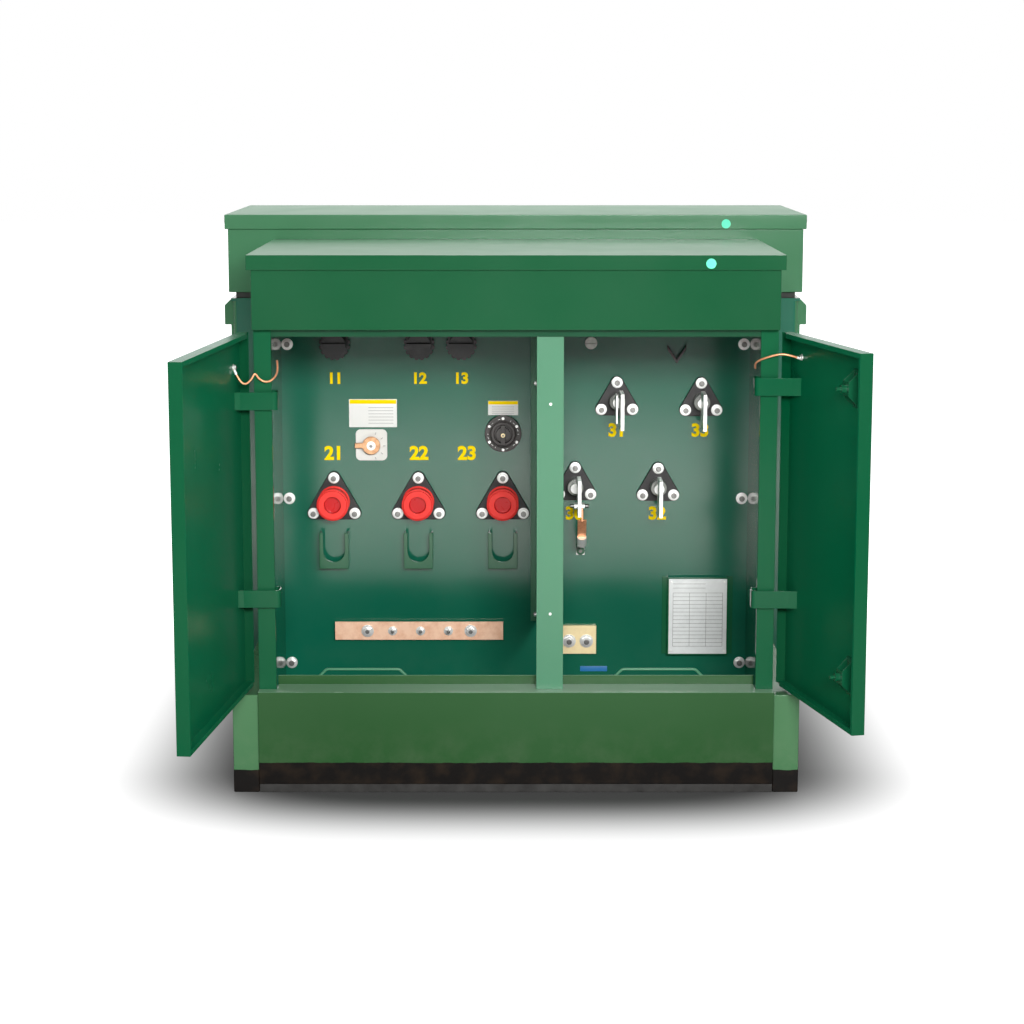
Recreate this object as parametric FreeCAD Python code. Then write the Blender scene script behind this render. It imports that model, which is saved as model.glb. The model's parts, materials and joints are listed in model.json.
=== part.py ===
"""Pad-mounted three-phase power transformer with its terminal cabinet, doors open.

Frame: millimetres, +Z up. The origin is on the ground under the centre of the oil tank.
The cabinet opens towards -Y, and +X is to the right of a person facing the open doors.
Each sub-part is written to parts/NODE.step.
"""
import FreeCAD, Part
import math
import os

V = FreeCAD.Vector
UP = V(0, 0, 1)

# ---- tank ----
TANK_SIDE_STEP = 129.0
TANK_DEPTH = 620.0
TANK_HEIGHT = 1208.0
TANK_CORNER_RADIUS = 14.0
TANK_FLANGE_OVERHANG = 6.0
TANK_FLANGE_THICKNESS = 8.0
GASKET_THICKNESS = 17.0
GASKET_INSET = 8.0
COVER_OVERHANG = 10.0
COVER_HEIGHT = 174.0
CAP_OVERHANG = 8.0
CAP_HEIGHT = 40.0
CAP_CROWN = 8.0
CAP_CROWN_INSET = 260.0

# ---- lifting lugs on the tank's sides ----
LUG_THICKNESS = 14.0
LUG_REACH = 30.0
LUG_BOTTOM = 1070.0
LUG_HEIGHT = 130.0
LUG_CHAMFER = 16.0
LUG_HOOK_BOTTOM = 22.0
LUG_HOOK_HEIGHT = 38.0
LUG_HOOK_DEPTH = 18.0
LUG_EDGE_DISTANCE = 60.0

# ---- cabinet ----
CABINET_WIDTH = 1312.0
CABINET_DEPTH = 700.0
SHEET = 3.0
JAMB_WIDTH = 44.0
JAMB_LIP = 16.0
FRONT_STEP = 37.0
FASCIA_BOTTOM = 1186.0
HOOD_HEIGHT = 183.0
HOOD_CAP_OVERHANG = 11.0
HOOD_CAP_LIP = 37.0
HEADER_HEIGHT = 20.0
HEADER_DEPTH = 30.0
SILL_BOTTOM = 24.0
SILL_TOP = 264.0
SILL_RETURN = 18.0
SILL_SHELF_DEPTH = 92.0
SILL_FLANGE_HEIGHT = 24.0
RAIL_WIDTH = 66.0
RAIL_HEIGHT = 256.0
RAIL_SETBACK = 7.0

# ---- rod handles at the sill ----
ROD_DIAMETER = 7.0
ROD_LENGTH = 240.0
ROD_RISE = 18.0
ROD_LEG = 26.0
ROD_BEND = 14.0
ROD_CENTRES = (-394.0, 368.0)

# ---- divider between the compartments ----
DIVIDER_CENTRE = 86.0
DIVIDER_FLANGE_WIDTH = 68.0
BARRIER_INSET = 6.0
BARRIER_SILL_GAP = 5.0
BARRIER_REAR_FLANGE = 15.0

# ---- doors ----
DOOR_GAP = 5.5
DOOR_TOP_GAP = 13.0
DOOR_MEETING_GAP = 6.0
DOOR_SIDE_INSET = 8.0
DOOR_THICKNESS = 32.0
DOOR_CLEARANCE = 6.0
DOOR_LIP = 12.0
LEFT_DOOR_OPEN = 96.0
RIGHT_DOOR_OPEN = 103.0

# ---- door hinges ----
PIVOT_INSET = 24.0
PIVOT_SETBACK = 32.0
STRAP_HEIGHT = 45.0
STRAP_THICKNESS = 5.0
STRAP_SIDE_REACH = 33.0
STRAP_FRONT_REACH = 47.0
STRAP_KINK = 58.0
STRAP_TAIL = 116.0
STRAP_TAIL_STEP = 15.0
STRAP_BEND_RADIUS = 7.0
LEFT_STRAP_LEVELS = (502.0, 1006.0)
RIGHT_STRAP_LEVELS = (500.0, 1042.0)
PIN_RADIUS = 5.0
PIN_FIT = 0.08
KNUCKLE_RADIUS = 10.0
HINGE_EAR_THICKNESS = 5.0
HINGE_EAR_GAP = 1.0
HINGE_EAR_RADIUS = 10.0

# ---- latches and pull on the right door ----
LATCH_LEVELS = (392.0, 1082.0)
LATCH_EDGE_DISTANCE = 88.0
LATCH_PLATE_HEIGHT = 92.0
LATCH_PLATE_WIDTH = 40.0
LATCH_PLATE_THICKNESS = 4.0
LATCH_GUSSET_HEIGHT = 34.0
LATCH_GUSSET_THICKNESS = 4.0
LATCH_BOSS_RADIUS = 14.0
LATCH_COLLAR_RADIUS = 10.0
LATCH_TIP_RADIUS = 5.0
LATCH_BOSS_REACH = 30.0
LATCH_COLLAR_REACH = 42.0
LATCH_TIP_REACH = 54.0
PULL_HEIGHT = 154.0
PULL_WIDTH = 34.0
PULL_REACH = 15.0
PULL_LEVEL = 724.0
PULL_EDGE_DISTANCE = 70.0
PULL_RECESS = 9.0
PULL_RIM = 6.0

# ---- high-voltage side ----
HV_CENTRES = (-510.0, -273.0, -36.0)
HV_LEVEL = 638.0
HV_STUD_RADIUS = 67.0
CLAMP_THICKNESS = 12.0
CLAMP_EDGE = 18.0
HV_WELL_RADIUS = 38.0
HV_WELL_REACH = 46.0
HV_CAP_RADIUS = 44.5
HV_CAP_REACH = 84.0
HV_CAP_BORE_RADIUS = 38.4
HV_CAP_SEAT = 0.3
HV_CAP_DISH_RADIUS = 23.0
HV_CAP_DISH_DEPTH = 16.0
HV_CAP_RIM = 6.0
HV_CAP_RIM_RADIUS = 40.0

STAND_LEVEL = 451.0
STAND_WIDTH = 82.0
STAND_HEIGHT = 102.0
STAND_THICKNESS = 6.0
STAND_REACH = 44.0
STAND_SLOT_WIDTH = 60.0
STAND_SLOT_BOTTOM = 50.0

FUSE_CENTRES = (-503.0, -268.0, -151.0)
FUSE_LEVEL = 1080.0
FUSE_BASE_RADIUS = 43.0
FUSE_BASE_THICKNESS = 22.0
FUSE_BODY_RADIUS = 34.0
FUSE_REACH = 62.0
FUSE_GRIP_WIDTH = 16.0
FUSE_GRIP_REACH = 18.0
FUSE_SCALLOPS = 16
FUSE_SCALLOP_RADIUS = 4.0

TAP_CENTRE = (-404.0, 797.0)
TAP_PLATE_SIZE = 88.0
TAP_PLATE_CORNER = 14.0
TAP_PLATE_THICKNESS = 3.0
TAP_SPINDLE_RADIUS = 9.0
TAP_SPINDLE_LENGTH = 22.0
TAP_HUB_RADIUS = 25.0
TAP_HUB_THICKNESS = 14.0
TAP_HANDLE_LENGTH = 46.0
TAP_HANDLE_WIDTH = 14.0
TURN_CLEARANCE = 5.5

SWITCH_CENTRE = (-35.0, 830.0)
SWITCH_DISC_RADIUS = 51.0
SWITCH_DISC_THICKNESS = 16.0
SWITCH_RING_RADIUS = 34.0
SWITCH_RING_THICKNESS = 8.0
SWITCH_HUB_RADIUS = 20.0
SWITCH_HUB_THICKNESS = 20.0
SWITCH_BAR_LENGTH = 56.0
SWITCH_BAR_WIDTH = 12.0
SWITCH_BAR_HEIGHT = 14.0

BAR_LEFT = -511.0
BAR_RIGHT = -35.0
BAR_LEVEL = 268.0
BAR_HEIGHT = 52.0
BAR_THICKNESS = 6.5
BAR_STANDOFF = 14.0
BAR_STANDOFF_WIDTH = 30.0
BAR_STANDOFF_INSET = 92.0
BAR_HOLE_CENTRE = -269.0
BAR_HOLE_PITCH = 79.0
BAR_HOLE_COUNT = 3
BAR_HOLE_RADIUS = 5.5

# ---- low-voltage side ----
LV_PLACES = ((283.0, 924.0), (518.0, 922.0), (167.0, 684.0), (400.0, 682.0))
LV_BLADE_SHIFTS = (9.0, 0.0, 9.0, 0.0)
LV_STUD_RADIUS = 50.4
LV_CLAMP_EDGE = 17.0
LV_STEM_RADIUS = 22.5
LV_STEM_REACH = 58.0
LV_BLADE_HEIGHT = 100.0
LV_BLADE_DROP = 16.0
LV_BLADE_THICKNESS = 9.5
LV_BLADE_LENGTH = 96.0
LV_TANG_RADIUS = 14.0
LV_TANG_LENGTH = 20.0
LV_HOLE_RADIUS = 7.14
LV_HOLE_SPACING = 44.45

PAD_LEFT = 106.0
PAD_RIGHT = 229.0
PAD_LEVEL = 240.0
PAD_HEIGHT = 82.0
PAD_THICKNESS = 12.0

NEUTRAL_STRAP_WIDTH = 24.0
NEUTRAL_STRAP_THICKNESS = 5.0
NEUTRAL_LUG_LEVEL = 508.0
NEUTRAL_BEND_RADIUS = 9.0

PLATE_CENTRE = (515.0, 310.0)
PLATE_WIDTH = 164.0
PLATE_HEIGHT = 216.0
PLATE_THICKNESS = 2.0
PLATE_STANDOFF = 22.0
PLATE_BRACKET_MARGIN = 4.0
PLATE_BRACKET_LEG = 14.0

PLUG_PLACE = (210.0, 1084.0)
PLUG_RADIUS = 17.0
PLUG_REACH = 14.0
PLUG_SLOT_WIDTH = 4.0
PLUG_SLOT_DEPTH = 5.0

VEE_PLACE = (448.0, 1060.0)
VEE_WIDTH = 52.0
VEE_HEIGHT = 38.0
VEE_ARM = 13.0
VEE_REACH = 24.0

# ---- bonding leads between the cabinet and its doors ----
LEAD_DIAMETER = 5.0

# ---- places worked out from the sizes above ----
WALL_Y = -TANK_DEPTH / 2
JAMB_Y = WALL_Y - CABINET_DEPTH
FRONT_Y = JAMB_Y - FRONT_STEP
TANK_WIDTH = CABINET_WIDTH + 2 * TANK_SIDE_STEP
HALF = CABINET_WIDTH / 2
CLEAR_HALF = HALF - JAMB_WIDTH
HOOD_TOP = FASCIA_BOTTOM + HOOD_HEIGHT
COVER_BOTTOM = TANK_HEIGHT + GASKET_THICKNESS
COVER_TOP = COVER_BOTTOM + COVER_HEIGHT
COVER_FRONT = WALL_Y - COVER_OVERHANG
DOOR_BOTTOM = SILL_TOP + DOOR_GAP
DOOR_TOP = FASCIA_BOTTOM - DOOR_TOP_GAP
HEADER_BOTTOM = FASCIA_BOTTOM - HEADER_HEIGHT
PIVOT_X = HALF - PIVOT_INSET
PIVOT_Y = JAMB_Y + PIVOT_SETBACK
SWING_RELIEF = math.hypot(PIVOT_INSET, PIVOT_SETBACK) + DOOR_CLEARANCE


def block(x0, x1, y0, y1, z0, z1):
    """A box between two corners."""
    return Part.makeBox(x1 - x0, y1 - y0, z1 - z0, V(x0, y0, z0))


def fuse(shapes):
    """One clean solid from pieces that overlap or touch."""
    whole = shapes[0]
    if len(shapes) > 1:
        whole = whole.fuse(shapes[1:])
    return whole.removeSplitter()


def out_of_wall(radius, reach, x, z, start=0.0):
    """A round bar that stands out of the tank's front wall towards the doors."""
    return Part.makeCylinder(radius, reach, V(x, WALL_Y - start, z), V(0, -1, 0))


def mirrored(shape):
    """The same shape on the other side of the middle plane."""
    return shape.mirror(V(0, 0, 0), V(1, 0, 0))


def vertical_edges(shape, keep):
    """The upright edges whose foot the test accepts."""
    chosen = []
    for edge in shape.Edges:
        if len(edge.Vertexes) != 2:
            continue
        foot, head = edge.Vertexes[0].Point, edge.Vertexes[1].Point
        upright = abs(foot.x - head.x) < 1e-6 and abs(foot.y - head.y) < 1e-6
        if upright and keep(foot):
            chosen.append(edge)
    return chosen


def save(node, shapes):
    """Write one node, as one solid or as several that do not touch."""
    solids = [solid for shape in shapes for solid in shape.Solids]
    shape = solids[0] if len(solids) == 1 else Part.makeCompound(solids)
    shape.exportStep(os.path.join("parts", node + ".step"))


# ---- tank ----
def tank_body():
    half = TANK_WIDTH / 2
    body = block(-half, half, WALL_Y, -WALL_Y, 0, TANK_HEIGHT)
    body = body.makeFillet(TANK_CORNER_RADIUS, vertical_edges(body, lambda foot: True))
    over = TANK_FLANGE_OVERHANG
    flange_bottom = TANK_HEIGHT - TANK_FLANGE_THICKNESS
    flange = block(-half - over, half + over, WALL_Y, -WALL_Y + over, flange_bottom, TANK_HEIGHT)
    return fuse([body, flange])


def cover_gasket():
    half = TANK_WIDTH / 2 - GASKET_INSET
    depth = -WALL_Y - GASKET_INSET
    return block(-half, half, -depth, depth, TANK_HEIGHT, COVER_BOTTOM)


def cover_box():
    half = TANK_WIDTH / 2 + COVER_OVERHANG
    return block(-half, half, COVER_FRONT, -COVER_FRONT, COVER_BOTTOM, COVER_TOP)


def cover_cap():
    half = TANK_WIDTH / 2 + COVER_OVERHANG + CAP_OVERHANG
    depth = -COVER_FRONT + CAP_OVERHANG
    top = COVER_TOP + CAP_HEIGHT
    slab = block(-half, half, -depth, depth, COVER_TOP, top)
    flat_half = half - CAP_CROWN_INSET
    flat_depth = depth - CAP_CROWN_INSET
    crown = Part.makeLoft([
        Part.makePolygon([V(-half, -depth, top), V(half, -depth, top), V(half, depth, top),
                          V(-half, depth, top), V(-half, -depth, top)]),
        Part.makePolygon([V(-flat_half, -flat_depth, top + CAP_CROWN),
                          V(flat_half, -flat_depth, top + CAP_CROWN),
                          V(flat_half, flat_depth, top + CAP_CROWN),
                          V(-flat_half, flat_depth, top + CAP_CROWN),
                          V(-flat_half, -flat_depth, top + CAP_CROWN)])], True, True)
    return fuse([slab, crown])


def lifting_lug(y):
    """A hook plate on the tank's right side, with its slot open outwards."""
    root = TANK_WIDTH / 2
    tip = root + LUG_REACH
    top = LUG_BOTTOM + LUG_HEIGHT
    slot_bottom = LUG_BOTTOM + LUG_HOOK_BOTTOM
    slot_top = slot_bottom + LUG_HOOK_HEIGHT
    slot_root = tip - LUG_HOOK_DEPTH
    outline = [(root, LUG_BOTTOM), (tip - LUG_CHAMFER, LUG_BOTTOM), (tip, LUG_BOTTOM + LUG_CHAMFER),
               (tip, slot_bottom), (slot_root, slot_bottom), (slot_root, slot_top),
               (tip, slot_top), (tip, top - LUG_CHAMFER), (tip - LUG_CHAMFER, top), (root, top)]
    wire = Part.makePolygon([V(x, y - LUG_THICKNESS / 2, z) for x, z in outline + outline[:1]])
    return Part.Face(wire).extrude(V(0, LUG_THICKNESS, 0))


def right_lifting_lugs():
    edge = -WALL_Y - LUG_EDGE_DISTANCE
    return [lifting_lug(-edge), lifting_lug(edge)]


# ---- base and cabinet ----
def base_rail_right():
    return block(HALF, HALF + RAIL_WIDTH, FRONT_Y + RAIL_SETBACK, WALL_Y, 0, RAIL_HEIGHT)


def base_rail_front():
    return block(-HALF, HALF, FRONT_Y + RAIL_SETBACK, JAMB_Y, 0, SILL_BOTTOM)


def cabinet_right_wall():
    return block(HALF - SHEET, HALF, JAMB_Y + SHEET, WALL_Y, 0, FASCIA_BOTTOM)


def right_jamb():
    face = block(CLEAR_HALF, HALF, JAMB_Y, JAMB_Y + SHEET, 0, FASCIA_BOTTOM)
    lip = block(CLEAR_HALF, CLEAR_HALF + SHEET, JAMB_Y, JAMB_Y + JAMB_LIP, 0, FASCIA_BOTTOM)
    return fuse([face, lip])


def cabinet_hood():
    front = block(-HALF, HALF, FRONT_Y, FRONT_Y + SHEET, FASCIA_BOTTOM, HOOD_TOP)
    left = block(-HALF, -HALF + SHEET, FRONT_Y, COVER_FRONT, FASCIA_BOTTOM, HOOD_TOP)
    right = block(HALF - SHEET, HALF, FRONT_Y, COVER_FRONT, FASCIA_BOTTOM, HOOD_TOP)
    return fuse([front, left, right])


def hood_cap():
    over = HALF + HOOD_CAP_OVERHANG
    front = FRONT_Y - HOOD_CAP_OVERHANG
    low = HOOD_TOP + SHEET - HOOD_CAP_LIP
    rear = COVER_FRONT
    roof = block(-over, over, front, rear, HOOD_TOP, HOOD_TOP + SHEET)
    lips = [block(-over, over, front, front + SHEET, low, HOOD_TOP + SHEET),
            block(-over, -over + SHEET, front, rear, low, HOOD_TOP + SHEET),
            block(over - SHEET, over, front, rear, low, HOOD_TOP + SHEET)]
    return fuse([roof] + lips)


def header_channel():
    web = block(-CLEAR_HALF, CLEAR_HALF, JAMB_Y, JAMB_Y + SHEET, HEADER_BOTTOM, FASCIA_BOTTOM)
    foot = block(-CLEAR_HALF, CLEAR_HALF, JAMB_Y, JAMB_Y + HEADER_DEPTH,
                 HEADER_BOTTOM, HEADER_BOTTOM + SHEET)
    shelf = block(-HALF + SHEET, HALF - SHEET, FRONT_Y + SHEET, JAMB_Y + SHEET,
                  FASCIA_BOTTOM, FASCIA_BOTTOM + SHEET)
    return fuse([web, foot, shelf])


def front_sill():
    """The removable front panel: face, shelf between the jambs and an upright inner flange."""
    face = block(-HALF, HALF, FRONT_Y, FRONT_Y + SHEET, SILL_BOTTOM, SILL_TOP)
    foot = block(-HALF, HALF, FRONT_Y, FRONT_Y + SILL_RETURN, SILL_BOTTOM, SILL_BOTTOM + SHEET)
    ledge = block(-HALF, HALF, FRONT_Y, JAMB_Y, SILL_TOP - SHEET, SILL_TOP)
    back = FRONT_Y + SILL_SHELF_DEPTH
    shelf = block(-CLEAR_HALF, CLEAR_HALF, JAMB_Y, back, SILL_TOP - SHEET, SILL_TOP)
    flange = block(-CLEAR_HALF, CLEAR_HALF, back - SHEET, back,
                   SILL_TOP - SHEET, SILL_TOP + SILL_FLANGE_HEIGHT)
    ends = [block(side, side + SHEET, FRONT_Y, JAMB_Y, SILL_BOTTOM, SILL_TOP)
            for side in (-HALF, HALF - SHEET)]
    return fuse([face, foot, ledge, shelf, flange] + ends)


def rod_handle(centre):
    """A bent round rod that stands behind the sill's inner flange."""
    y = FRONT_Y + SILL_SHELF_DEPTH + ROD_DIAMETER / 2
    high = SILL_TOP + SILL_FLANGE_HEIGHT + ROD_RISE - ROD_DIAMETER / 2
    low = high - ROD_LEG
    half = ROD_LENGTH / 2
    knee = half - ROD_LEG
    corners = [V(centre - half, y, low), V(centre - knee, y, high),
               V(centre + knee, y, high), V(centre + half, y, low)]
    return round_bar(corners, ROD_DIAMETER, [ROD_BEND, ROD_BEND])


def divider():
    left = DIVIDER_CENTRE - DIVIDER_FLANGE_WIDTH / 2
    right = DIVIDER_CENTRE + DIVIDER_FLANGE_WIDTH / 2
    face = block(left, right, JAMB_Y, JAMB_Y + SHEET, SILL_TOP, HEADER_BOTTOM)
    plate_x = left + BARRIER_INSET
    plate_low = SILL_TOP + SILL_FLANGE_HEIGHT + BARRIER_SILL_GAP
    plate = block(plate_x, plate_x + SHEET, JAMB_Y, WALL_Y, plate_low, HEADER_BOTTOM)
    rear = block(plate_x - BARRIER_REAR_FLANGE, plate_x, WALL_Y - SHEET, WALL_Y,
                 plate_low, HEADER_BOTTOM)
    return fuse([face, plate, rear])


# ---- bent strips and round bars ----
def offset_points(points, distance):
    """Corners of a line drawn beside a bent line, at a distance to its left."""
    normals = []
    for start, end in zip(points, points[1:]):
        run = (end - start).normalize()
        normals.append(V(-run.y, run.x, 0))
    moved = [points[0] + normals[0] * distance]
    for corner, before, after in zip(points[1:], normals, normals[1:]):
        middle = (before + after).normalize()
        moved.append(corner + middle * (distance / middle.dot(after)))
    return moved + [points[-1] + normals[-1] * distance]


def bent_strip(points, thickness, height, radii):
    """A flat strip on edge, bent along a line seen from above, with rounded bends."""
    left = offset_points(points, thickness / 2)
    right = offset_points(points, -thickness / 2)
    outline = left + right[::-1]
    strip = Part.Face(Part.makePolygon(outline + outline[:1])).extrude(UP * height)
    for index, radius in enumerate(radii, start=1):
        before = points[index] - points[index - 1]
        after = points[index + 1] - points[index]
        turns_left = before.x * after.y - before.y * after.x > 0
        inner, outer = (left, right) if turns_left else (right, left)
        for corner, size in ((inner[index], radius), (outer[index], radius + thickness)):
            near = vertical_edges(strip, lambda foot: math.hypot(foot.x - corner.x,
                                                                 foot.y - corner.y) < 1e-3)
            strip = strip.makeFillet(size, near)
    return strip


def rounded_path(points, radii):
    """Straight runs joined by tangent arcs, one radius to each inner corner."""
    edges = []
    start = points[0]
    for before, corner, after, radius in zip(points, points[1:], points[2:], radii):
        back = (before - corner).normalize()
        ahead = (after - corner).normalize()
        half_turn = (math.pi - back.getAngle(ahead)) / 2
        setback = radius * math.tan(half_turn)
        enter = corner + back * setback
        leave = corner + ahead * setback
        bisector = (back + ahead).normalize()
        middle = corner + bisector * (radius / math.cos(half_turn) - radius)
        edges.append(Part.LineSegment(start, enter).toShape())
        edges.append(Part.Arc(enter, middle, leave).toShape())
        start = leave
    edges.append(Part.LineSegment(start, points[-1]).toShape())
    return Part.Wire(edges)


def round_bar(points, diameter, radii):
    """A round bar or wire swept along straight runs and arcs."""
    path = rounded_path(points, radii)
    circle = Part.makeCircle(diameter / 2, points[0], points[1] - points[0])
    return path.makePipeShell([Part.Wire([circle])], True, False)


def cord_radii(points):
    """The largest arc that each corner's two runs allow."""
    radii = []
    for before, corner, after in zip(points, points[1:], points[2:]):
        back, ahead = before - corner, after - corner
        half_turn = (math.pi - back.getAngle(ahead)) / 2
        radii.append(0.45 * min(back.Length, ahead.Length) / math.tan(half_turn))
    return radii


# ---- doors: drawn closed on the left, then turned open about the hinge ----
def door_pan(free_edge):
    """A closed left door as a tray: outer sheet with flanges and lips turned inwards."""
    hinge_edge = -HALF + DOOR_SIDE_INSET
    inside = FRONT_Y + DOOR_THICKNESS
    pan = block(hinge_edge, free_edge, FRONT_Y, inside, DOOR_BOTTOM, DOOR_TOP)
    hollow = block(hinge_edge + SHEET, free_edge - SHEET, FRONT_Y + SHEET, inside - SHEET,
                   DOOR_BOTTOM + SHEET, DOOR_TOP - SHEET)
    mouth = block(hinge_edge + SHEET, free_edge - DOOR_LIP, inside - SHEET, inside,
                  DOOR_BOTTOM + DOOR_LIP, DOOR_TOP - DOOR_LIP)
    relief = Part.makeCylinder(SWING_RELIEF, DOOR_TOP - DOOR_BOTTOM, V(-PIVOT_X, PIVOT_Y, DOOR_BOTTOM))
    return pan.cut(fuse([hollow, mouth])).cut(relief)


def swung(shape, angle):
    """A closed left door's piece, turned open about the hinge."""
    turned = shape.copy()
    turned.rotate(V(-PIVOT_X, PIVOT_Y, 0), UP, -angle)
    return turned


def hinge_straps(levels, door):
    """Curved straps of the open left door, wrapped round the jamb to the pivot pin."""
    reach = PIVOT_X + STRAP_KINK
    corners = [(-PIVOT_X, PIVOT_Y), (-PIVOT_X + STRAP_SIDE_REACH, PIVOT_Y),
               (-PIVOT_X + STRAP_SIDE_REACH, PIVOT_Y - STRAP_FRONT_REACH),
               (-reach, PIVOT_Y - STRAP_FRONT_REACH),
               (-reach - STRAP_TAIL, PIVOT_Y - STRAP_FRONT_REACH - STRAP_TAIL_STEP)]
    straps = []
    for level in levels:
        low = level - STRAP_HEIGHT / 2
        points = [V(x, y, low) for x, y in corners]
        radii = [STRAP_BEND_RADIUS, STRAP_BEND_RADIUS, STRAP_BEND_RADIUS]
        strip = bent_strip(points, STRAP_THICKNESS, STRAP_HEIGHT, radii)
        knuckle = Part.makeCylinder(KNUCKLE_RADIUS, STRAP_HEIGHT, V(-PIVOT_X, PIVOT_Y, low))
        bore = Part.makeCylinder(PIN_RADIUS + PIN_FIT, STRAP_HEIGHT, V(-PIVOT_X, PIVOT_Y, low))
        strap = fuse([strip, knuckle]).cut(bore)
        straps.append(inner_piece(strap.cut(door)))
    return straps


def inner_piece(shape):
    """The piece nearest the middle, once a door's sheet has cut a strap through."""
    return max(shape.Solids, key=lambda solid: solid.BoundBox.XMax)


def hinge_bracket(level):
    """A pin on the left, held between two ears on the cabinet's wall."""
    low = level - STRAP_HEIGHT / 2 - HINGE_EAR_GAP - HINGE_EAR_THICKNESS
    high = level + STRAP_HEIGHT / 2 + HINGE_EAR_GAP
    wall = -HALF + SHEET
    pieces = [Part.makeCylinder(PIN_RADIUS, high + HINGE_EAR_THICKNESS - low, V(-PIVOT_X, PIVOT_Y, low))]
    for z in (low, high):
        pieces.append(Part.makeCylinder(HINGE_EAR_RADIUS, HINGE_EAR_THICKNESS, V(-PIVOT_X, PIVOT_Y, z)))
        pieces.append(block(wall, -PIVOT_X, PIVOT_Y - HINGE_EAR_RADIUS, PIVOT_Y + HINGE_EAR_RADIUS,
                            z, z + HINGE_EAR_THICKNESS))
    return fuse(pieces)


def latch(free_edge, level):
    """A captive bolt in its bracket, inside a closed left-hand door."""
    sheet = FRONT_Y + SHEET
    x = free_edge - LATCH_EDGE_DISTANCE
    half_width = LATCH_PLATE_WIDTH / 2
    half_height = LATCH_PLATE_HEIGHT / 2
    plate = block(x - half_width, x + half_width, sheet, sheet + LATCH_PLATE_THICKNESS,
                  level - half_height, level + half_height)
    outline = [(sheet, level - half_height), (sheet, level + half_height),
               (sheet + LATCH_BOSS_REACH, level + LATCH_GUSSET_HEIGHT / 2),
               (sheet + LATCH_BOSS_REACH, level - LATCH_GUSSET_HEIGHT / 2)]
    gussets = []
    for side in (x - half_width, x + half_width - LATCH_GUSSET_THICKNESS):
        wire = Part.makePolygon([V(side, y, z) for y, z in outline + outline[:1]])
        gussets.append(Part.Face(wire).extrude(V(LATCH_GUSSET_THICKNESS, 0, 0)))
    bridge = block(x - half_width, x + half_width, sheet + LATCH_BOSS_REACH - LATCH_GUSSET_THICKNESS,
                   sheet + LATCH_BOSS_REACH, level - LATCH_GUSSET_HEIGHT / 2,
                   level + LATCH_GUSSET_HEIGHT / 2)
    steps = [Part.makeCylinder(radius, reach, V(x, sheet, level), V(0, 1, 0))
             for radius, reach in ((LATCH_BOSS_RADIUS, LATCH_BOSS_REACH),
                                   (LATCH_COLLAR_RADIUS, LATCH_COLLAR_REACH),
                                   (LATCH_TIP_RADIUS, LATCH_TIP_REACH))]
    return fuse([plate, bridge] + gussets + steps)


def door_pull(free_edge):
    """A recessed pull with a raised rim, on the outside of a closed left-hand door."""
    x = free_edge - PULL_EDGE_DISTANCE
    half_width = PULL_WIDTH / 2
    half_height = PULL_HEIGHT / 2
    body = block(x - half_width, x + half_width, FRONT_Y - PULL_REACH, FRONT_Y,
                 PULL_LEVEL - half_height, PULL_LEVEL + half_height)
    recess = block(x - half_width + PULL_RIM, x + half_width - PULL_RIM,
                   FRONT_Y - PULL_REACH, FRONT_Y - PULL_REACH + PULL_RECESS,
                   PULL_LEVEL - half_height + PULL_RIM, PULL_LEVEL + half_height - PULL_RIM)
    return body.cut(recess)


# ---- fittings on the tank's front wall ----
def clamp_plate(x, z, stud_radius, edge):
    """A three-cornered clamp with round corners, flat on the wall."""
    corners = [V(x + stud_radius * math.cos(math.radians(a)), WALL_Y,
                 z + stud_radius * math.sin(math.radians(a))) for a in (90, 210, 330)]
    triangle = Part.Face(Part.makePolygon(corners + corners[:1]))
    return triangle.makeOffset2D(edge).extrude(V(0, -CLAMP_THICKNESS, 0))


def hv_bushings():
    bushings = []
    for x in HV_CENTRES:
        clamp = clamp_plate(x, HV_LEVEL, HV_STUD_RADIUS, CLAMP_EDGE)
        bushings.append(fuse([clamp, out_of_wall(HV_WELL_RADIUS, HV_WELL_REACH, x, HV_LEVEL)]))
    return bushings


def hv_caps():
    """Dust caps that slip over the bushings, dished at the front."""
    caps = []
    for x in HV_CENTRES:
        start = CLAMP_THICKNESS + HV_CAP_SEAT
        body = out_of_wall(HV_CAP_RIM_RADIUS, HV_CAP_REACH - start, x, HV_LEVEL, start)
        rim = out_of_wall(HV_CAP_RADIUS, HV_CAP_RIM, x, HV_LEVEL, start)
        lip = out_of_wall(HV_CAP_RADIUS, 2 * HV_CAP_RIM, x, HV_LEVEL, HV_CAP_REACH - 3 * HV_CAP_RIM)
        bore = out_of_wall(HV_CAP_BORE_RADIUS, HV_WELL_REACH + HV_CAP_SEAT, x, HV_LEVEL)
        dish = out_of_wall(HV_CAP_DISH_RADIUS, HV_CAP_DISH_DEPTH, x, HV_LEVEL,
                           HV_CAP_REACH - HV_CAP_DISH_DEPTH)
        caps.append(fuse([body, rim, lip]).cut(bore).cut(dish))
    return caps


def parking_stands():
    """U plates in front of the wall, on side legs, that hold a parked elbow."""
    stands = []
    for x in HV_CENTRES:
        half = STAND_WIDTH / 2
        face_y = WALL_Y - STAND_REACH
        top = STAND_LEVEL + STAND_HEIGHT
        face = block(x - half, x + half, face_y, face_y + STAND_THICKNESS, STAND_LEVEL, top)
        slot_z = STAND_LEVEL + STAND_SLOT_BOTTOM
        slot = block(x - STAND_SLOT_WIDTH / 2, x + STAND_SLOT_WIDTH / 2, face_y,
                     face_y + STAND_THICKNESS, slot_z, top)
        round_end = Part.makeCylinder(STAND_SLOT_WIDTH / 2, STAND_THICKNESS,
                                      V(x, face_y, slot_z), V(0, 1, 0))
        legs = [block(side, side + STAND_THICKNESS, face_y, WALL_Y, STAND_LEVEL, top)
                for side in (x - half, x + half - STAND_THICKNESS)]
        stands.append(fuse([face.cut(slot).cut(round_end)] + legs))
    return stands


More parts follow.
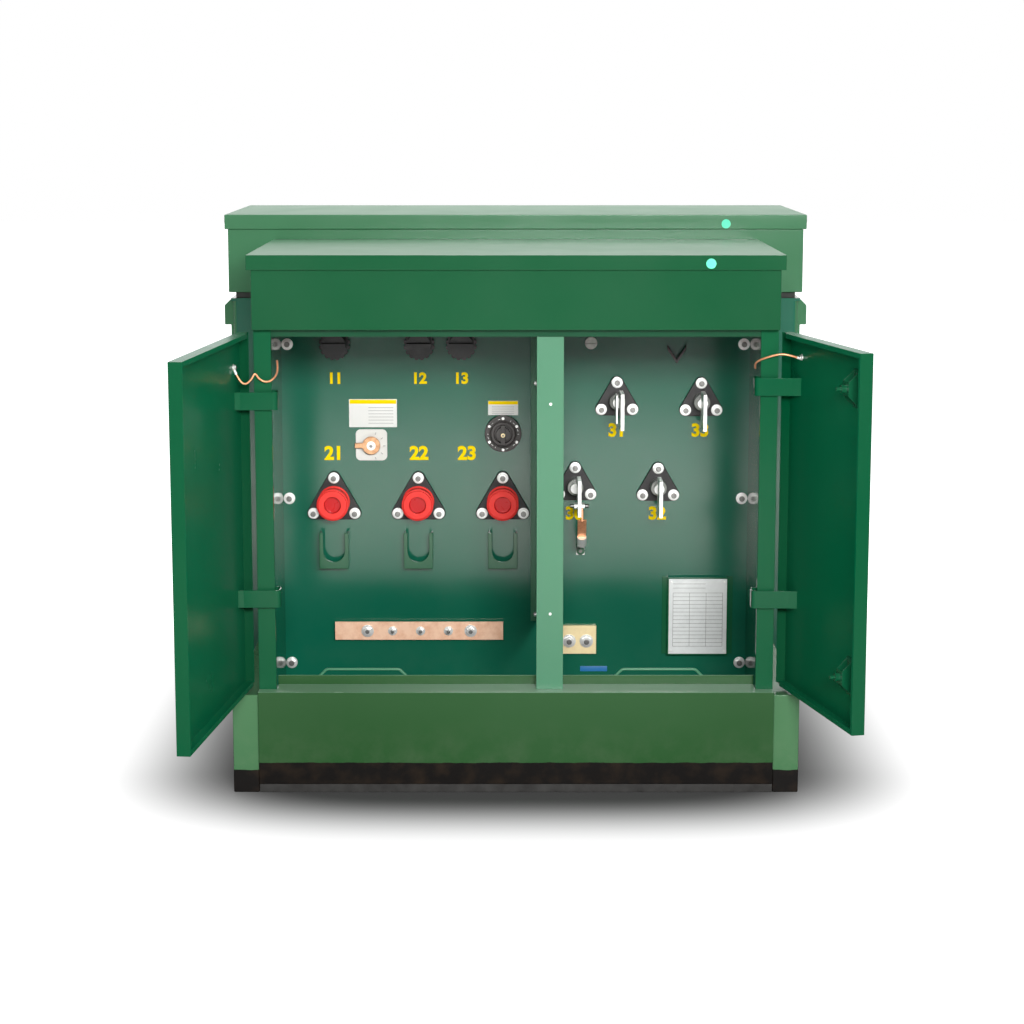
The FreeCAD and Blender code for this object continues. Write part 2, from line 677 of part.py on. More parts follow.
def fuse_holders():
    holders = []
    for x in FUSE_CENTRES:
        base = out_of_wall(FUSE_BASE_RADIUS, FUSE_BASE_THICKNESS, x, FUSE_LEVEL)
        for index in range(FUSE_SCALLOPS):
            angle = 2 * math.pi * index / FUSE_SCALLOPS
            notch = out_of_wall(FUSE_SCALLOP_RADIUS, FUSE_BASE_THICKNESS,
                                x + FUSE_BASE_RADIUS * math.cos(angle),
                                FUSE_LEVEL + FUSE_BASE_RADIUS * math.sin(angle))
            base = base.cut(notch)
        body = out_of_wall(FUSE_BODY_RADIUS, FUSE_REACH, x, FUSE_LEVEL)
        grip = block(x - FUSE_BODY_RADIUS, x + FUSE_BODY_RADIUS, WALL_Y - FUSE_REACH - FUSE_GRIP_REACH,
                     WALL_Y - FUSE_REACH, FUSE_LEVEL - FUSE_GRIP_WIDTH / 2,
                     FUSE_LEVEL + FUSE_GRIP_WIDTH / 2)
        holders.append(fuse([base, body, grip]))
    return holders


def tap_changer_plate():
    x, z = TAP_CENTRE
    half = TAP_PLATE_SIZE / 2
    plate = block(x - half, x + half, WALL_Y - TAP_PLATE_THICKNESS, WALL_Y, z - half, z + half)
    corners = [edge for edge in plate.Edges if abs(edge.BoundBox.YLength - TAP_PLATE_THICKNESS) < 1e-6]
    plate = plate.makeFillet(TAP_PLATE_CORNER, corners)
    return fuse([plate, out_of_wall(TAP_SPINDLE_RADIUS, TAP_SPINDLE_LENGTH, x, z)])


def tap_changer_handle():
    """A round hub with a pointer handle that turns on the spindle."""
    x, z = TAP_CENTRE
    start = TAP_PLATE_THICKNESS + TURN_CLEARANCE
    hub = out_of_wall(TAP_HUB_RADIUS, TAP_HUB_THICKNESS, x, z, start)
    arm = block(x - TAP_HANDLE_LENGTH, x, WALL_Y - start - TAP_HUB_THICKNESS, WALL_Y - start,
                z - TAP_HANDLE_WIDTH / 2, z + TAP_HANDLE_WIDTH / 2)
    bore = out_of_wall(TAP_SPINDLE_RADIUS + PIN_FIT, TAP_SPINDLE_LENGTH, x, z)
    return fuse([hub, arm]).cut(bore)


def switch_disc():
    x, z = SWITCH_CENTRE
    disc = out_of_wall(SWITCH_DISC_RADIUS, SWITCH_DISC_THICKNESS, x, z)
    ring = out_of_wall(SWITCH_RING_RADIUS, SWITCH_DISC_THICKNESS + SWITCH_RING_THICKNESS, x, z)
    hollow = out_of_wall(SWITCH_HUB_RADIUS + TURN_CLEARANCE, SWITCH_RING_THICKNESS, x, z,
                         SWITCH_DISC_THICKNESS)
    return fuse([disc, ring]).cut(hollow)


def switch_hub():
    """The turning hub of the load switch, with its cross bar."""
    x, z = SWITCH_CENTRE
    start = SWITCH_DISC_THICKNESS + HV_CAP_SEAT
    hub = out_of_wall(SWITCH_HUB_RADIUS, SWITCH_HUB_THICKNESS, x, z, start)
    front = WALL_Y - start - SWITCH_HUB_THICKNESS
    bar = block(x - SWITCH_BAR_WIDTH / 2, x + SWITCH_BAR_WIDTH / 2, front - SWITCH_BAR_HEIGHT, front,
                z - SWITCH_BAR_LENGTH / 2, z + SWITCH_BAR_LENGTH / 2)
    return fuse([hub, bar])


def ground_bar():
    front = WALL_Y - BAR_STANDOFF - BAR_THICKNESS
    bar = block(BAR_LEFT, BAR_RIGHT, front, WALL_Y - BAR_STANDOFF,
                BAR_LEVEL - BAR_HEIGHT / 2, BAR_LEVEL + BAR_HEIGHT / 2)
    for step in range(BAR_HOLE_COUNT):
        x = BAR_HOLE_CENTRE + (step - (BAR_HOLE_COUNT - 1) / 2) * BAR_HOLE_PITCH
        bar = bar.cut(Part.makeCylinder(BAR_HOLE_RADIUS, BAR_THICKNESS, V(x, front, BAR_LEVEL), V(0, 1, 0)))
    return bar


def ground_bar_standoffs():
    blocks = []
    for x in (BAR_LEFT + BAR_STANDOFF_INSET, BAR_RIGHT - BAR_STANDOFF_INSET):
        half = BAR_STANDOFF_WIDTH / 2
        blocks.append(block(x - half, x + half, WALL_Y - BAR_STANDOFF, WALL_Y,
                            BAR_LEVEL - half, BAR_LEVEL + half))
    return blocks


def lv_bushings():
    bushings = []
    for x, z in LV_PLACES:
        clamp = clamp_plate(x, z, LV_STUD_RADIUS, LV_CLAMP_EDGE)
        bushings.append(fuse([clamp, out_of_wall(LV_STEM_RADIUS, LV_STEM_REACH, x, z)]))
    return bushings


def lv_spades():
    """Upright terminal blades with four bolt holes, each on a round tang."""
    spades = []
    for (x, z), shift in zip(LV_PLACES, LV_BLADE_SHIFTS):
        tang = out_of_wall(LV_TANG_RADIUS, LV_TANG_LENGTH, x, z, LV_STEM_REACH)
        rear = WALL_Y - LV_STEM_REACH - LV_TANG_LENGTH / 2
        middle = z - LV_BLADE_DROP
        left = x + shift - LV_BLADE_THICKNESS / 2
        blade = block(left, left + LV_BLADE_THICKNESS, rear - LV_BLADE_LENGTH, rear,
                      middle - LV_BLADE_HEIGHT / 2, middle + LV_BLADE_HEIGHT / 2)
        for y_side in (-1, 1):
            for z_side in (-1, 1):
                place = V(left, rear - LV_BLADE_LENGTH / 2 + y_side * LV_HOLE_SPACING / 2,
                          middle + z_side * LV_HOLE_SPACING / 2)
                blade = blade.cut(Part.makeCylinder(LV_HOLE_RADIUS, LV_BLADE_THICKNESS, place, V(1, 0, 0)))
        spades.append(fuse([tang, blade]))
    return spades


def lv_ground_pad():
    return block(PAD_LEFT, PAD_RIGHT, WALL_Y - PAD_THICKNESS, WALL_Y,
                 PAD_LEVEL - PAD_HEIGHT / 2, PAD_LEVEL + PAD_HEIGHT / 2)


def neutral_strap():
    """A flat copper strap from the neutral blade's foot down to a lug on the wall."""
    x, z = LV_PLACES[2]
    face = x + LV_BLADE_SHIFTS[2] + LV_BLADE_THICKNESS / 2
    foot = z - LV_BLADE_DROP - LV_BLADE_HEIGHT / 2
    y_blade = WALL_Y - LV_STEM_REACH - LV_TANG_LENGTH / 2 - LV_BLADE_LENGTH + NEUTRAL_STRAP_WIDTH / 2
    wall = WALL_Y - NEUTRAL_STRAP_THICKNESS / 2
    low = NEUTRAL_LUG_LEVEL
    tab = block(face, face + NEUTRAL_STRAP_THICKNESS, y_blade - NEUTRAL_STRAP_WIDTH / 2,
                y_blade + NEUTRAL_STRAP_WIDTH / 2, foot - NEUTRAL_STRAP_WIDTH / 2,
                foot + NEUTRAL_STRAP_WIDTH)
    middle = face + NEUTRAL_STRAP_THICKNESS / 2
    side = NEUTRAL_STRAP_THICKNESS / 2
    outline = [V(0, y_blade, foot - NEUTRAL_STRAP_WIDTH / 2 + side),
               V(0, y_blade + 2 * NEUTRAL_STRAP_WIDTH, low + NEUTRAL_STRAP_WIDTH),
               V(0, wall, low), V(0, wall, low - NEUTRAL_STRAP_WIDTH)]
    flat = [V(point.y, point.z, 0) for point in outline]
    strip = bent_strip(flat, NEUTRAL_STRAP_THICKNESS, NEUTRAL_STRAP_WIDTH,
                       [NEUTRAL_BEND_RADIUS, NEUTRAL_BEND_RADIUS])
    strip.rotate(V(0, 0, 0), V(1, 1, 1), 120)
    strip.translate(V(middle - NEUTRAL_STRAP_WIDTH / 2, 0, 0))
    return fuse([tab, strip])


def nameplate_bracket():
    x, z = PLATE_CENTRE
    half_width = PLATE_WIDTH / 2 + PLATE_BRACKET_MARGIN
    half_height = PLATE_HEIGHT / 2 + PLATE_BRACKET_MARGIN
    front = WALL_Y - PLATE_STANDOFF
    face = block(x - half_width, x + half_width, front, front + SHEET, z - half_height, z + half_height)
    legs = [block(side, side + SHEET, front, WALL_Y, z - half_height, z + half_height)
            for side in (x - half_width, x + half_width - SHEET)]
    feet = [block(x - half_width - PLATE_BRACKET_LEG, x - half_width + SHEET, WALL_Y - SHEET, WALL_Y,
                  z - half_height, z + half_height),
            block(x + half_width - SHEET, x + half_width + PLATE_BRACKET_LEG, WALL_Y - SHEET, WALL_Y,
                  z - half_height, z + half_height)]
    return fuse([face] + legs + feet)


def nameplate():
    x, z = PLATE_CENTRE
    front = WALL_Y - PLATE_STANDOFF
    return block(x - PLATE_WIDTH / 2, x + PLATE_WIDTH / 2, front - PLATE_THICKNESS, front,
                 z - PLATE_HEIGHT / 2, z + PLATE_HEIGHT / 2)


def fill_plug():
    x, z = PLUG_PLACE
    plug = out_of_wall(PLUG_RADIUS, PLUG_REACH, x, z)
    slot = block(x - PLUG_RADIUS, x + PLUG_RADIUS, WALL_Y - PLUG_REACH,
                 WALL_Y - PLUG_REACH + PLUG_SLOT_DEPTH, z - PLUG_SLOT_WIDTH / 2, z + PLUG_SLOT_WIDTH / 2)
    return plug.cut(slot)


def vee_bracket():
    """A small bracket bent like a V, open upwards."""
    x, z = VEE_PLACE
    half = VEE_WIDTH / 2
    top = z + VEE_HEIGHT / 2
    bottom = z - VEE_HEIGHT / 2
    outline = [(x - half, top), (x, bottom), (x + half, top), (x + half, top - VEE_ARM),
               (x, bottom - VEE_ARM), (x - half, top - VEE_ARM)]
    wire = Part.makePolygon([V(px, WALL_Y, pz) for px, pz in outline + outline[:1]])
    return Part.Face(wire).extrude(V(0, -VEE_REACH, 0))


# ---- bonding leads: points chosen by hand, from the door's sheet to behind the jamb ----
LEFT_LEAD = [V(-702.0, -1034.0, 1086.0), V(-692.0, -1034.0, 1062.0), V(-676.0, -1033.0, 1047.0),
             V(-659.0, -1031.0, 1062.0), V(-651.0, -1029.0, 1079.0), V(-640.0, -1027.0, 1060.0),
             V(-620.0, -1025.0, 1053.0), V(-602.0, -1014.0, 1064.0), V(-596.0, -996.0, 1084.0),
             V(-600.0, -984.0, 1104.0)]
RIGHT_LEAD = [V(711.0, -1030.0, 1113.0), V(690.0, -1034.0, 1120.0), V(662.0, -1033.0, 1126.0),
              V(633.0, -1028.0, 1119.0), V(607.0, -1014.0, 1108.0), V(598.0, -994.0, 1096.0),
              V(602.0, -976.0, 1084.0)]


def lead(name, points):
    """A round bonding wire, with its arc radii printed."""
    radii = cord_radii(points)
    print(name, "arc radii", [round(radius, 1) for radius in radii])
    wire = round_bar(points, LEAD_DIAMETER, radii)
    length = rounded_path(points, radii).Length
    print(name, "length", round(length, 1), "volume ratio",
          round(wire.Volume / (math.pi * LEAD_DIAMETER ** 2 / 4 * length), 4))
    return wire


def build():
    os.makedirs("parts", exist_ok=True)
    save("tank_body", [tank_body()])
    save("cover_gasket", [cover_gasket()])
    save("tank_cover_box", [cover_box()])
    save("tank_cover_cap", [cover_cap()])
    right_lugs = right_lifting_lugs()
    save("right_lifting_lugs", right_lugs)
    save("left_lifting_lugs", [mirrored(lug) for lug in right_lugs])
    for name, shape in (("base_rail", base_rail_right()), ("cabinet_wall", cabinet_right_wall()),
                        ("jamb", right_jamb())):
        save("right_" + name, [shape])
        save("left_" + name, [mirrored(shape)])
    save("front_base_rail", [base_rail_front()])
    save("cabinet_hood", [cabinet_hood()])
    save("hood_cap", [hood_cap()])
    save("header_channel", [header_channel()])
    save("front_sill", [front_sill()])
    save("sill_handles", [rod_handle(centre) for centre in ROD_CENTRES])
    save("divider", [divider()])

    save("hv_bushings", hv_bushings())
    save("hv_dust_caps", hv_caps())
    save("parking_stands", parking_stands())
    save("fuse_holders", fuse_holders())
    save("tap_changer_plate", [tap_changer_plate()])
    save("tap_changer_handle", [tap_changer_handle()])
    save("switch_disc", [switch_disc()])
    save("switch_hub", [switch_hub()])
    save("ground_bar", [ground_bar()])
    save("ground_bar_standoffs", ground_bar_standoffs())
    save("lv_bushings", lv_bushings())
    save("lv_spades", lv_spades())
    save("lv_ground_pad", [lv_ground_pad()])
    save("neutral_strap", [neutral_strap()])
    save("nameplate_bracket", [nameplate_bracket()])
    save("nameplate", [nameplate()])
    save("fill_plug", [fill_plug()])
    save("vee_bracket", [vee_bracket()])

    left_edge = DIVIDER_CENTRE - DOOR_MEETING_GAP / 2
    right_edge = -DIVIDER_CENTRE - DOOR_MEETING_GAP / 2
    left_door = swung(door_pan(left_edge), LEFT_DOOR_OPEN)
    right_door = swung(door_pan(right_edge), RIGHT_DOOR_OPEN)
    save("left_door", [left_door])
    save("left_hinge_straps", hinge_straps(LEFT_STRAP_LEVELS, left_door))
    save("left_hinge_brackets", [hinge_bracket(level) for level in LEFT_STRAP_LEVELS])
    save("right_door", [mirrored(right_door)])
    save("right_hinge_straps", [mirrored(strap) for strap in hinge_straps(RIGHT_STRAP_LEVELS, right_door)])
    save("right_hinge_brackets", [mirrored(hinge_bracket(level)) for level in RIGHT_STRAP_LEVELS])
    latches = [swung(latch(right_edge, level), RIGHT_DOOR_OPEN) for level in LATCH_LEVELS]
    save("door_latches", [mirrored(piece) for piece in latches])
    save("door_pull", [mirrored(swung(door_pull(right_edge), RIGHT_DOOR_OPEN))])
    save("left_bonding_lead", [lead("left_bonding_lead", LEFT_LEAD)])
    save("right_bonding_lead", [lead("right_bonding_lead", RIGHT_LEAD)])


build()
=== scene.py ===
"""Looks of a pad-mounted transformer: paint, metals, fastenings, marks, leads and studio."""
import bmesh
import bpy
import json
import math
from mathutils import Matrix, Vector

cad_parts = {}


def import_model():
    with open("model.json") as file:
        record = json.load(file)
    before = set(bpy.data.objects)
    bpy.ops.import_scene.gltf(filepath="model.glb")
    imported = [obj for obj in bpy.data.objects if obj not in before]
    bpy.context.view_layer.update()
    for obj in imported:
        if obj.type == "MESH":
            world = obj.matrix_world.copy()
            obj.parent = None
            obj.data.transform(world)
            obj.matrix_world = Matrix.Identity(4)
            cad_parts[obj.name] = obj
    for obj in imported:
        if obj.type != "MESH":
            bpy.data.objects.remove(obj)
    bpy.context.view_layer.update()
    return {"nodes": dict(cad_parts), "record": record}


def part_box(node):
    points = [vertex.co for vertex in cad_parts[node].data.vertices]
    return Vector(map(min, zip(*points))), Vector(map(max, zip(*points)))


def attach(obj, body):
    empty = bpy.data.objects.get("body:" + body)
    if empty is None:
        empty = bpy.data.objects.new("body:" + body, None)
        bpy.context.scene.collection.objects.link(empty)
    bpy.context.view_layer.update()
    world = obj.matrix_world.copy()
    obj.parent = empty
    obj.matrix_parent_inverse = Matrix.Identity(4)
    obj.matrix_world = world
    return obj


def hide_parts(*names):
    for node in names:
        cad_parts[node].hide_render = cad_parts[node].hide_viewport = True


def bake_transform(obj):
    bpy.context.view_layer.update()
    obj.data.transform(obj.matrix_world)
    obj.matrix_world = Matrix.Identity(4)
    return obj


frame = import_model()
bpy.ops.object.select_all(action="DESELECT")


def corners(node):
    """(low, high) corners of a CAD node's box."""
    low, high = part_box(node)
    return Vector(low), Vector(high)


# ---- places read from the frame, in metres ----
WALL_Y = corners("tank_body")[0].y
JAMB_Y = corners("left_jamb")[0].y
CABINET_HALF = -corners("left_jamb")[0].x

# ---- clamps that hold the bushings: plate, stud circle and edge ----
CLAMP_THICKNESS = 0.012
CLAMP_FRONT = WALL_Y - CLAMP_THICKNESS
HV_STUD_RADIUS = 0.067
LV_STUD_RADIUS = 0.0504
LV_CLAMP_EDGE = 0.017


# ---- handling meshes ----
def only(thing):
    """Select one object and make it the active one."""
    bpy.ops.object.select_all(action="DESELECT")
    thing.select_set(True)
    bpy.context.view_layer.objects.active = thing


def pick(thing, kind, test):
    """Enter edit mode with the faces or edges selected whose middle passes the test."""
    only(thing)
    bpy.ops.object.mode_set(mode="EDIT")
    bpy.ops.mesh.select_mode(type=kind)
    bpy.ops.mesh.select_all(action="DESELECT")
    mesh = bmesh.from_edit_mesh(thing.data)
    if kind == "FACE":
        for face in mesh.faces:
            face.select_set(test(face.calc_center_median(), face.normal))
    elif kind == "EDGE":
        for edge in mesh.edges:
            ends = edge.verts[0].co, edge.verts[1].co
            edge.select_set(test((ends[0] + ends[1]) / 2, ends[1] - ends[0]))
    mesh.select_flush(True)
    bmesh.update_edit_mesh(thing.data)


def leave_edit():
    bpy.ops.object.mode_set(mode="OBJECT")


def apply_modifier(thing, kind, **settings):
    """Add one modifier and apply it at once."""
    only(thing)
    modifier = thing.modifiers.new(kind.lower(), kind)
    for name, value in settings.items():
        setattr(modifier, name, value)
    bpy.ops.object.modifier_apply(modifier=modifier.name)


def smooth(thing, degrees=35):
    only(thing)
    bpy.ops.object.shade_smooth_by_angle(angle=math.radians(degrees))


def soften(thing, width, segments=2, degrees=32):
    """Round the sharp edges and shade the rounds smoothly."""
    apply_modifier(thing, "BEVEL", width=width, segments=segments, limit_method="ANGLE",
                   angle_limit=math.radians(degrees), use_clamp_overlap=True)
    smooth(thing)
    apply_modifier(thing, "WEIGHTED_NORMAL", keep_sharp=True, weight=50)


def settle(thing, name):
    """Name the piece and put its place into its mesh."""
    only(thing)
    bpy.ops.object.transform_apply(location=True, rotation=True, scale=True)
    thing.name = name
    thing.data.name = name
    return thing


def join(pieces, name):
    bpy.ops.object.select_all(action="DESELECT")
    for piece in pieces:
        piece.select_set(True)
    bpy.context.view_layer.objects.active = pieces[0]
    if len(pieces) > 1:
        bpy.ops.object.join()
    return settle(pieces[0], name)


def finish(thing, material, body="housing"):
    """Give a piece its finish and the body that it rides on."""
    thing.data.materials.clear()
    thing.data.materials.append(material)
    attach(thing, body)
    return thing


def copies(pattern, name, spots, turn=None):
    """Copies of a pattern modelled at the origin, joined into one piece."""
    made = []
    for spot in spots:
        copy = pattern.copy()
        copy.data = pattern.data.copy()
        bpy.context.collection.objects.link(copy)
        copy.data.transform(Matrix.Translation(spot) @ (turn or Matrix.Identity(4)))
        made.append(copy)
    return join(made, name)


def remove(*things):
    for thing in things:
        bpy.data.objects.remove(thing, do_unlink=True)


def solids(node):
    """(low, high) corners of each separate solid of a CAD node, from left to right."""
    mesh = bmesh.new()
    mesh.from_mesh(frame["nodes"][node].data)
    bmesh.ops.remove_doubles(mesh, verts=mesh.verts, dist=1e-6)
    unseen = set(mesh.verts)
    boxes = []
    while unseen:
        front = [unseen.pop()]
        points = []
        while front:
            vertex = front.pop()
            points.append(vertex.co.copy())
            for edge in vertex.link_edges:
                other = edge.other_vert(vertex)
                if other in unseen:
                    unseen.remove(other)
                    front.append(other)
        low = Vector([min(point[axis] for point in points) for axis in range(3)])
        high = Vector([max(point[axis] for point in points) for axis in range(3)])
        boxes.append((low, high))
    mesh.free()
    return sorted(boxes, key=lambda pair: pair[0].x)


def middle(pair):
    return (pair[0] + pair[1]) / 2


# ---- shader building ----
def colour(red, green, blue):
    return (red, green, blue, 1.0)


def shader_node(tree, kind, inputs=None, **settings):
    """A shader node with its settings, and with its inputs linked or set."""
    node = tree.nodes.new("ShaderNode" + kind)
    for name, value in settings.items():
        setattr(node, name, value)
    for name, value in (inputs or {}).items():
        if isinstance(value, bpy.types.NodeSocket):
            tree.links.new(value, node.inputs[name])
        else:
            node.inputs[name].default_value = value
    return node


def sockets(tree, direction, wanted):
    """Named inputs or outputs of a node group."""
    for name, kind, default in wanted:
        socket = tree.interface.new_socket(name, in_out=direction, socket_type="NodeSocket" + kind)
        if default is not None:
            socket.default_value = default


def new_group(name, inputs, outputs):
    tree = bpy.data.node_groups.new(name, "ShaderNodeTree")
    sockets(tree, "INPUT", inputs)
    sockets(tree, "OUTPUT", [(title, kind, None) for title, kind in outputs])
    source = tree.nodes.new("NodeGroupInput").outputs
    sink = tree.nodes.new("NodeGroupOutput").inputs
    return tree, source, sink


def noise(tree, vector, scale, detail=2.0, roughness=0.5):
    return shader_node(tree, "TexNoise", {"Vector": vector, "Scale": scale, "Detail": detail,
                                          "Roughness": roughness}).outputs["Fac"]


def remap(tree, value, low, high, to_low, to_high):
    return shader_node(tree, "MapRange", {"Value": value, "From Min": low, "From Max": high,
                                          "To Min": to_low, "To Max": to_high}).outputs["Result"]


def math_node(tree, operation, first, second):
    return shader_node(tree, "Math", {0: first, 1: second}, operation=operation).outputs[0]


def mix_colour(tree, factor, first, second, blend="MIX"):
    return shader_node(tree, "Mix", {"Factor": factor, 6: first, 7: second},
                       data_type="RGBA", blend_type=blend).outputs[2]


def paint_skin_group():
    """Sprayed enamel: broad shade changes, orange peel and a few dull patches."""
    tree, source, sink = new_group(
        "paint_skin",
        [("Vector", "Vector", None), ("Colour", "Color", colour(0, 0.2, 0.1)),
         ("Variation", "Float", 0.1), ("Roughness", "Float", 0.3)],
        [("Colour", "Color"), ("Roughness", "Float"), ("Height", "Float")])
    broad = noise(tree, source["Vector"], 1.6, 3.0)
    shade = remap(tree, broad, 0.3, 0.7, 0.0, 1.0)
    darker = mix_colour(tree, 1.0, source["Colour"], colour(0.72, 0.78, 0.74), "MULTIPLY")
    lighter = mix_colour(tree, 0.06, source["Colour"], colour(0.8, 0.9, 0.8))
    spread = mix_colour(tree, shade, darker, lighter)
    tree.links.new(mix_colour(tree, source["Variation"], source["Colour"], spread), sink["Colour"])
    patches = remap(tree, noise(tree, source["Vector"], 7.0, 4.0), 0.35, 0.75, -0.02, 0.03)
    tree.links.new(math_node(tree, "ADD", source["Roughness"], patches), sink["Roughness"])
    peel = noise(tree, source["Vector"], 420.0, 1.0)
    waves = noise(tree, source["Vector"], 9.0, 1.0)
    height = shader_node(tree, "Math", {0: waves, 1: 6.0, 2: peel}, operation="MULTIPLY_ADD")
    tree.links.new(height.outputs[0], sink["Height"])
    return tree


def dust_group():
    """Pale dust that settles low down and on faces that look up."""
    tree, source, sink = new_group(
        "settled_dust",
        [("Vector", "Vector", None), ("Colour", "Color", colour(0, 0.2, 0.1)),
         ("Roughness", "Float", 0.3), ("Amount", "Float", 0.3), ("Reach", "Float", 0.3)],
        [("Colour", "Color"), ("Roughness", "Float")])
    height = shader_node(tree, "SeparateXYZ", {0: source["Vector"]}).outputs["Z"]
    low = math_node(tree, "DIVIDE", height, source["Reach"])
    near_ground = remap(tree, low, 0.0, 1.0, 1.0, 0.0)
    facing = shader_node(tree, "NewGeometry").outputs["Normal"]
    upward = shader_node(tree, "SeparateXYZ", {0: facing}).outputs["Z"]
    up = remap(tree, upward, 0.4, 1.0, 0.0, 0.2)
    patchy = remap(tree, noise(tree, source["Vector"], 14.0, 6.0, 0.65), 0.4, 0.72, 0.0, 1.0)
    both = math_node(tree, "MAXIMUM", near_ground, up)
    film = math_node(tree, "MULTIPLY", math_node(tree, "MULTIPLY", both, patchy), source["Amount"])
    dirt = colour(0.42, 0.40, 0.33)
    tree.links.new(mix_colour(tree, film, source["Colour"], dirt), sink["Colour"])
    dull = math_node(tree, "MULTIPLY", film, 0.5)
    tree.links.new(math_node(tree, "ADD", source["Roughness"], dull), sink["Roughness"])
    return tree


def metal_group():
    """Bare metal: tarnish clouds, fine grain along one way and small pits."""
    tree, source, sink = new_group(
        "metal_skin",
        [("Vector", "Vector", None), ("Colour", "Color", colour(0.6, 0.6, 0.6)),
         ("Tarnish", "Color", colour(0.3, 0.3, 0.3)), ("Amount", "Float", 0.3),
         ("Roughness", "Float", 0.3), ("Scale", "Float", 60.0)],
        [("Colour", "Color"), ("Roughness", "Float"), ("Height", "Float")])
    clouds = shader_node(tree, "TexNoise", {"Vector": source["Vector"], "Scale": source["Scale"],
                                            "Detail": 5.0, "Roughness": 0.6}).outputs["Fac"]
    mask = math_node(tree, "MULTIPLY", remap(tree, clouds, 0.42, 0.66, 0.0, 1.0), source["Amount"])
    tree.links.new(mix_colour(tree, mask, source["Colour"], source["Tarnish"]), sink["Colour"])
    stretched = shader_node(tree, "Mapping", {"Vector": source["Vector"],
                                              "Scale": (900.0, 60.0, 60.0)})
    grain = noise(tree, stretched.outputs[0], 1.0, 2.0)
    uneven = remap(tree, grain, 0.3, 0.7, -0.06, 0.08)
    dull = math_node(tree, "ADD", uneven, math_node(tree, "MULTIPLY", mask, 0.2))
    tree.links.new(math_node(tree, "ADD", source["Roughness"], dull), sink["Roughness"])
    tree.links.new(grain, sink["Height"])
    return tree


PAINT_SKIN = paint_skin_group()
DUST = dust_group()
METAL_SKIN = metal_group()


def blank_material(name):
    """(material, tree, principled shader, object coordinates)"""
    material = bpy.data.materials.new(name)
    material.use_nodes = True
    tree = material.node_tree
    principled = tree.nodes["Principled BSDF"]
    place = shader_node(tree, "TexCoord").outputs["Object"]
    return material, tree, principled, place


def use_group(tree, group, inputs):
    return shader_node(tree, "Group", inputs, node_tree=group).outputs


def bump(tree, height, distance, principled):
    node = shader_node(tree, "Bump", {"Height": height, "Distance": distance, "Strength": 1.0})
    tree.links.new(node.outputs["Normal"], principled.inputs["Normal"])


BAND_WOBBLE = 0.0012
BAND_BLUR = 0.0006
COAT_ROUGHNESS = 0.12
ORANGE_PEEL_DEPTH = 0.00003
GRAIN_DEPTH = 0.00005


def enamel(name, base, roughness=0.28, variation=0.12, dust=0.02, reach=0.4, coat=0.1, sheen=0.3,
           band=None):
    """Gloss paint, with a black undercoat band below a height where one is given."""
    material, tree, principled, place = blank_material(name)
    skin = use_group(tree, PAINT_SKIN, {"Vector": place, "Colour": colour(*base),
                                        "Variation": variation, "Roughness": roughness})
    dusty = use_group(tree, DUST, {"Vector": place, "Colour": skin["Colour"],
                                   "Roughness": skin["Roughness"], "Amount": dust, "Reach": reach})
    tint, gloss = dusty["Colour"], dusty["Roughness"]
    if band is not None:
        height = shader_node(tree, "SeparateXYZ", {0: place}).outputs["Z"]
        wobble = remap(tree, noise(tree, place, 30.0, 3.0), 0.3, 0.7, -BAND_WOBBLE, BAND_WOBBLE)
        level = math_node(tree, "ADD", height, wobble)
        below = remap(tree, level, band - BAND_BLUR, band + BAND_BLUR, 1.0, 0.0)
        smears = mix_colour(tree, remap(tree, noise(tree, place, 22.0, 5.0), 0.45, 0.75, 0.0, 0.6),
                            colour(0.003, 0.002, 0.0015), colour(0.024, 0.014, 0.007))
        tint = mix_colour(tree, below, tint, smears)
        gloss = math_node(tree, "ADD", gloss, math_node(tree, "MULTIPLY", below, 0.3))
    tree.links.new(tint, principled.inputs["Base Color"])
    tree.links.new(gloss, principled.inputs["Roughness"])
    principled.inputs["Coat Weight"].default_value = coat
    principled.inputs["Coat Roughness"].default_value = COAT_ROUGHNESS
    principled.inputs["Specular IOR Level"].default_value = sheen
    bump(tree, skin["Height"], ORANGE_PEEL_DEPTH, principled)
    return material


def metal(name, base, tarnish, amount=0.4, roughness=0.3, scale=60.0, metallic=1.0):
    """Bare or plated metal with tarnish clouds."""
    material, tree, principled, place = blank_material(name)
    skin = use_group(tree, METAL_SKIN, {"Vector": place, "Colour": colour(*base),
                                        "Tarnish": colour(*tarnish), "Amount": amount,
                                        "Roughness": roughness, "Scale": scale})
    tree.links.new(skin["Colour"], principled.inputs["Base Color"])
    tree.links.new(skin["Roughness"], principled.inputs["Roughness"])
    principled.inputs["Metallic"].default_value = metallic
    bump(tree, skin["Height"], GRAIN_DEPTH, principled)
    return material


def moulding(name, base, roughness=0.35, grain=180.0, depth=0.00006, variation=0.35, coat=0.0,
             sheen=0.5):
    """Moulded plastic, rubber or porcelain."""
    material, tree, principled, place = blank_material(name)
    clouds = remap(tree, noise(tree, place, 24.0, 4.0), 0.3, 0.7, 0.0, 1.0)
    pale = mix_colour(tree, 0.08, colour(*base), colour(0.7, 0.7, 0.66))
    spread = mix_colour(tree, clouds, colour(*base), pale)
    tint = mix_colour(tree, variation, colour(*base), spread)
    tree.links.new(tint, principled.inputs["Base Color"])
    gloss = remap(tree, noise(tree, place, 40.0, 3.0), 0.3, 0.7, roughness - 0.05, roughness + 0.1)
    tree.links.new(gloss, principled.inputs["Roughness"])
    principled.inputs["Coat Weight"].default_value = coat
    principled.inputs["Specular IOR Level"].default_value = sheen
    bump(tree, noise(tree, place, grain, 2.0), depth, principled)
    return material


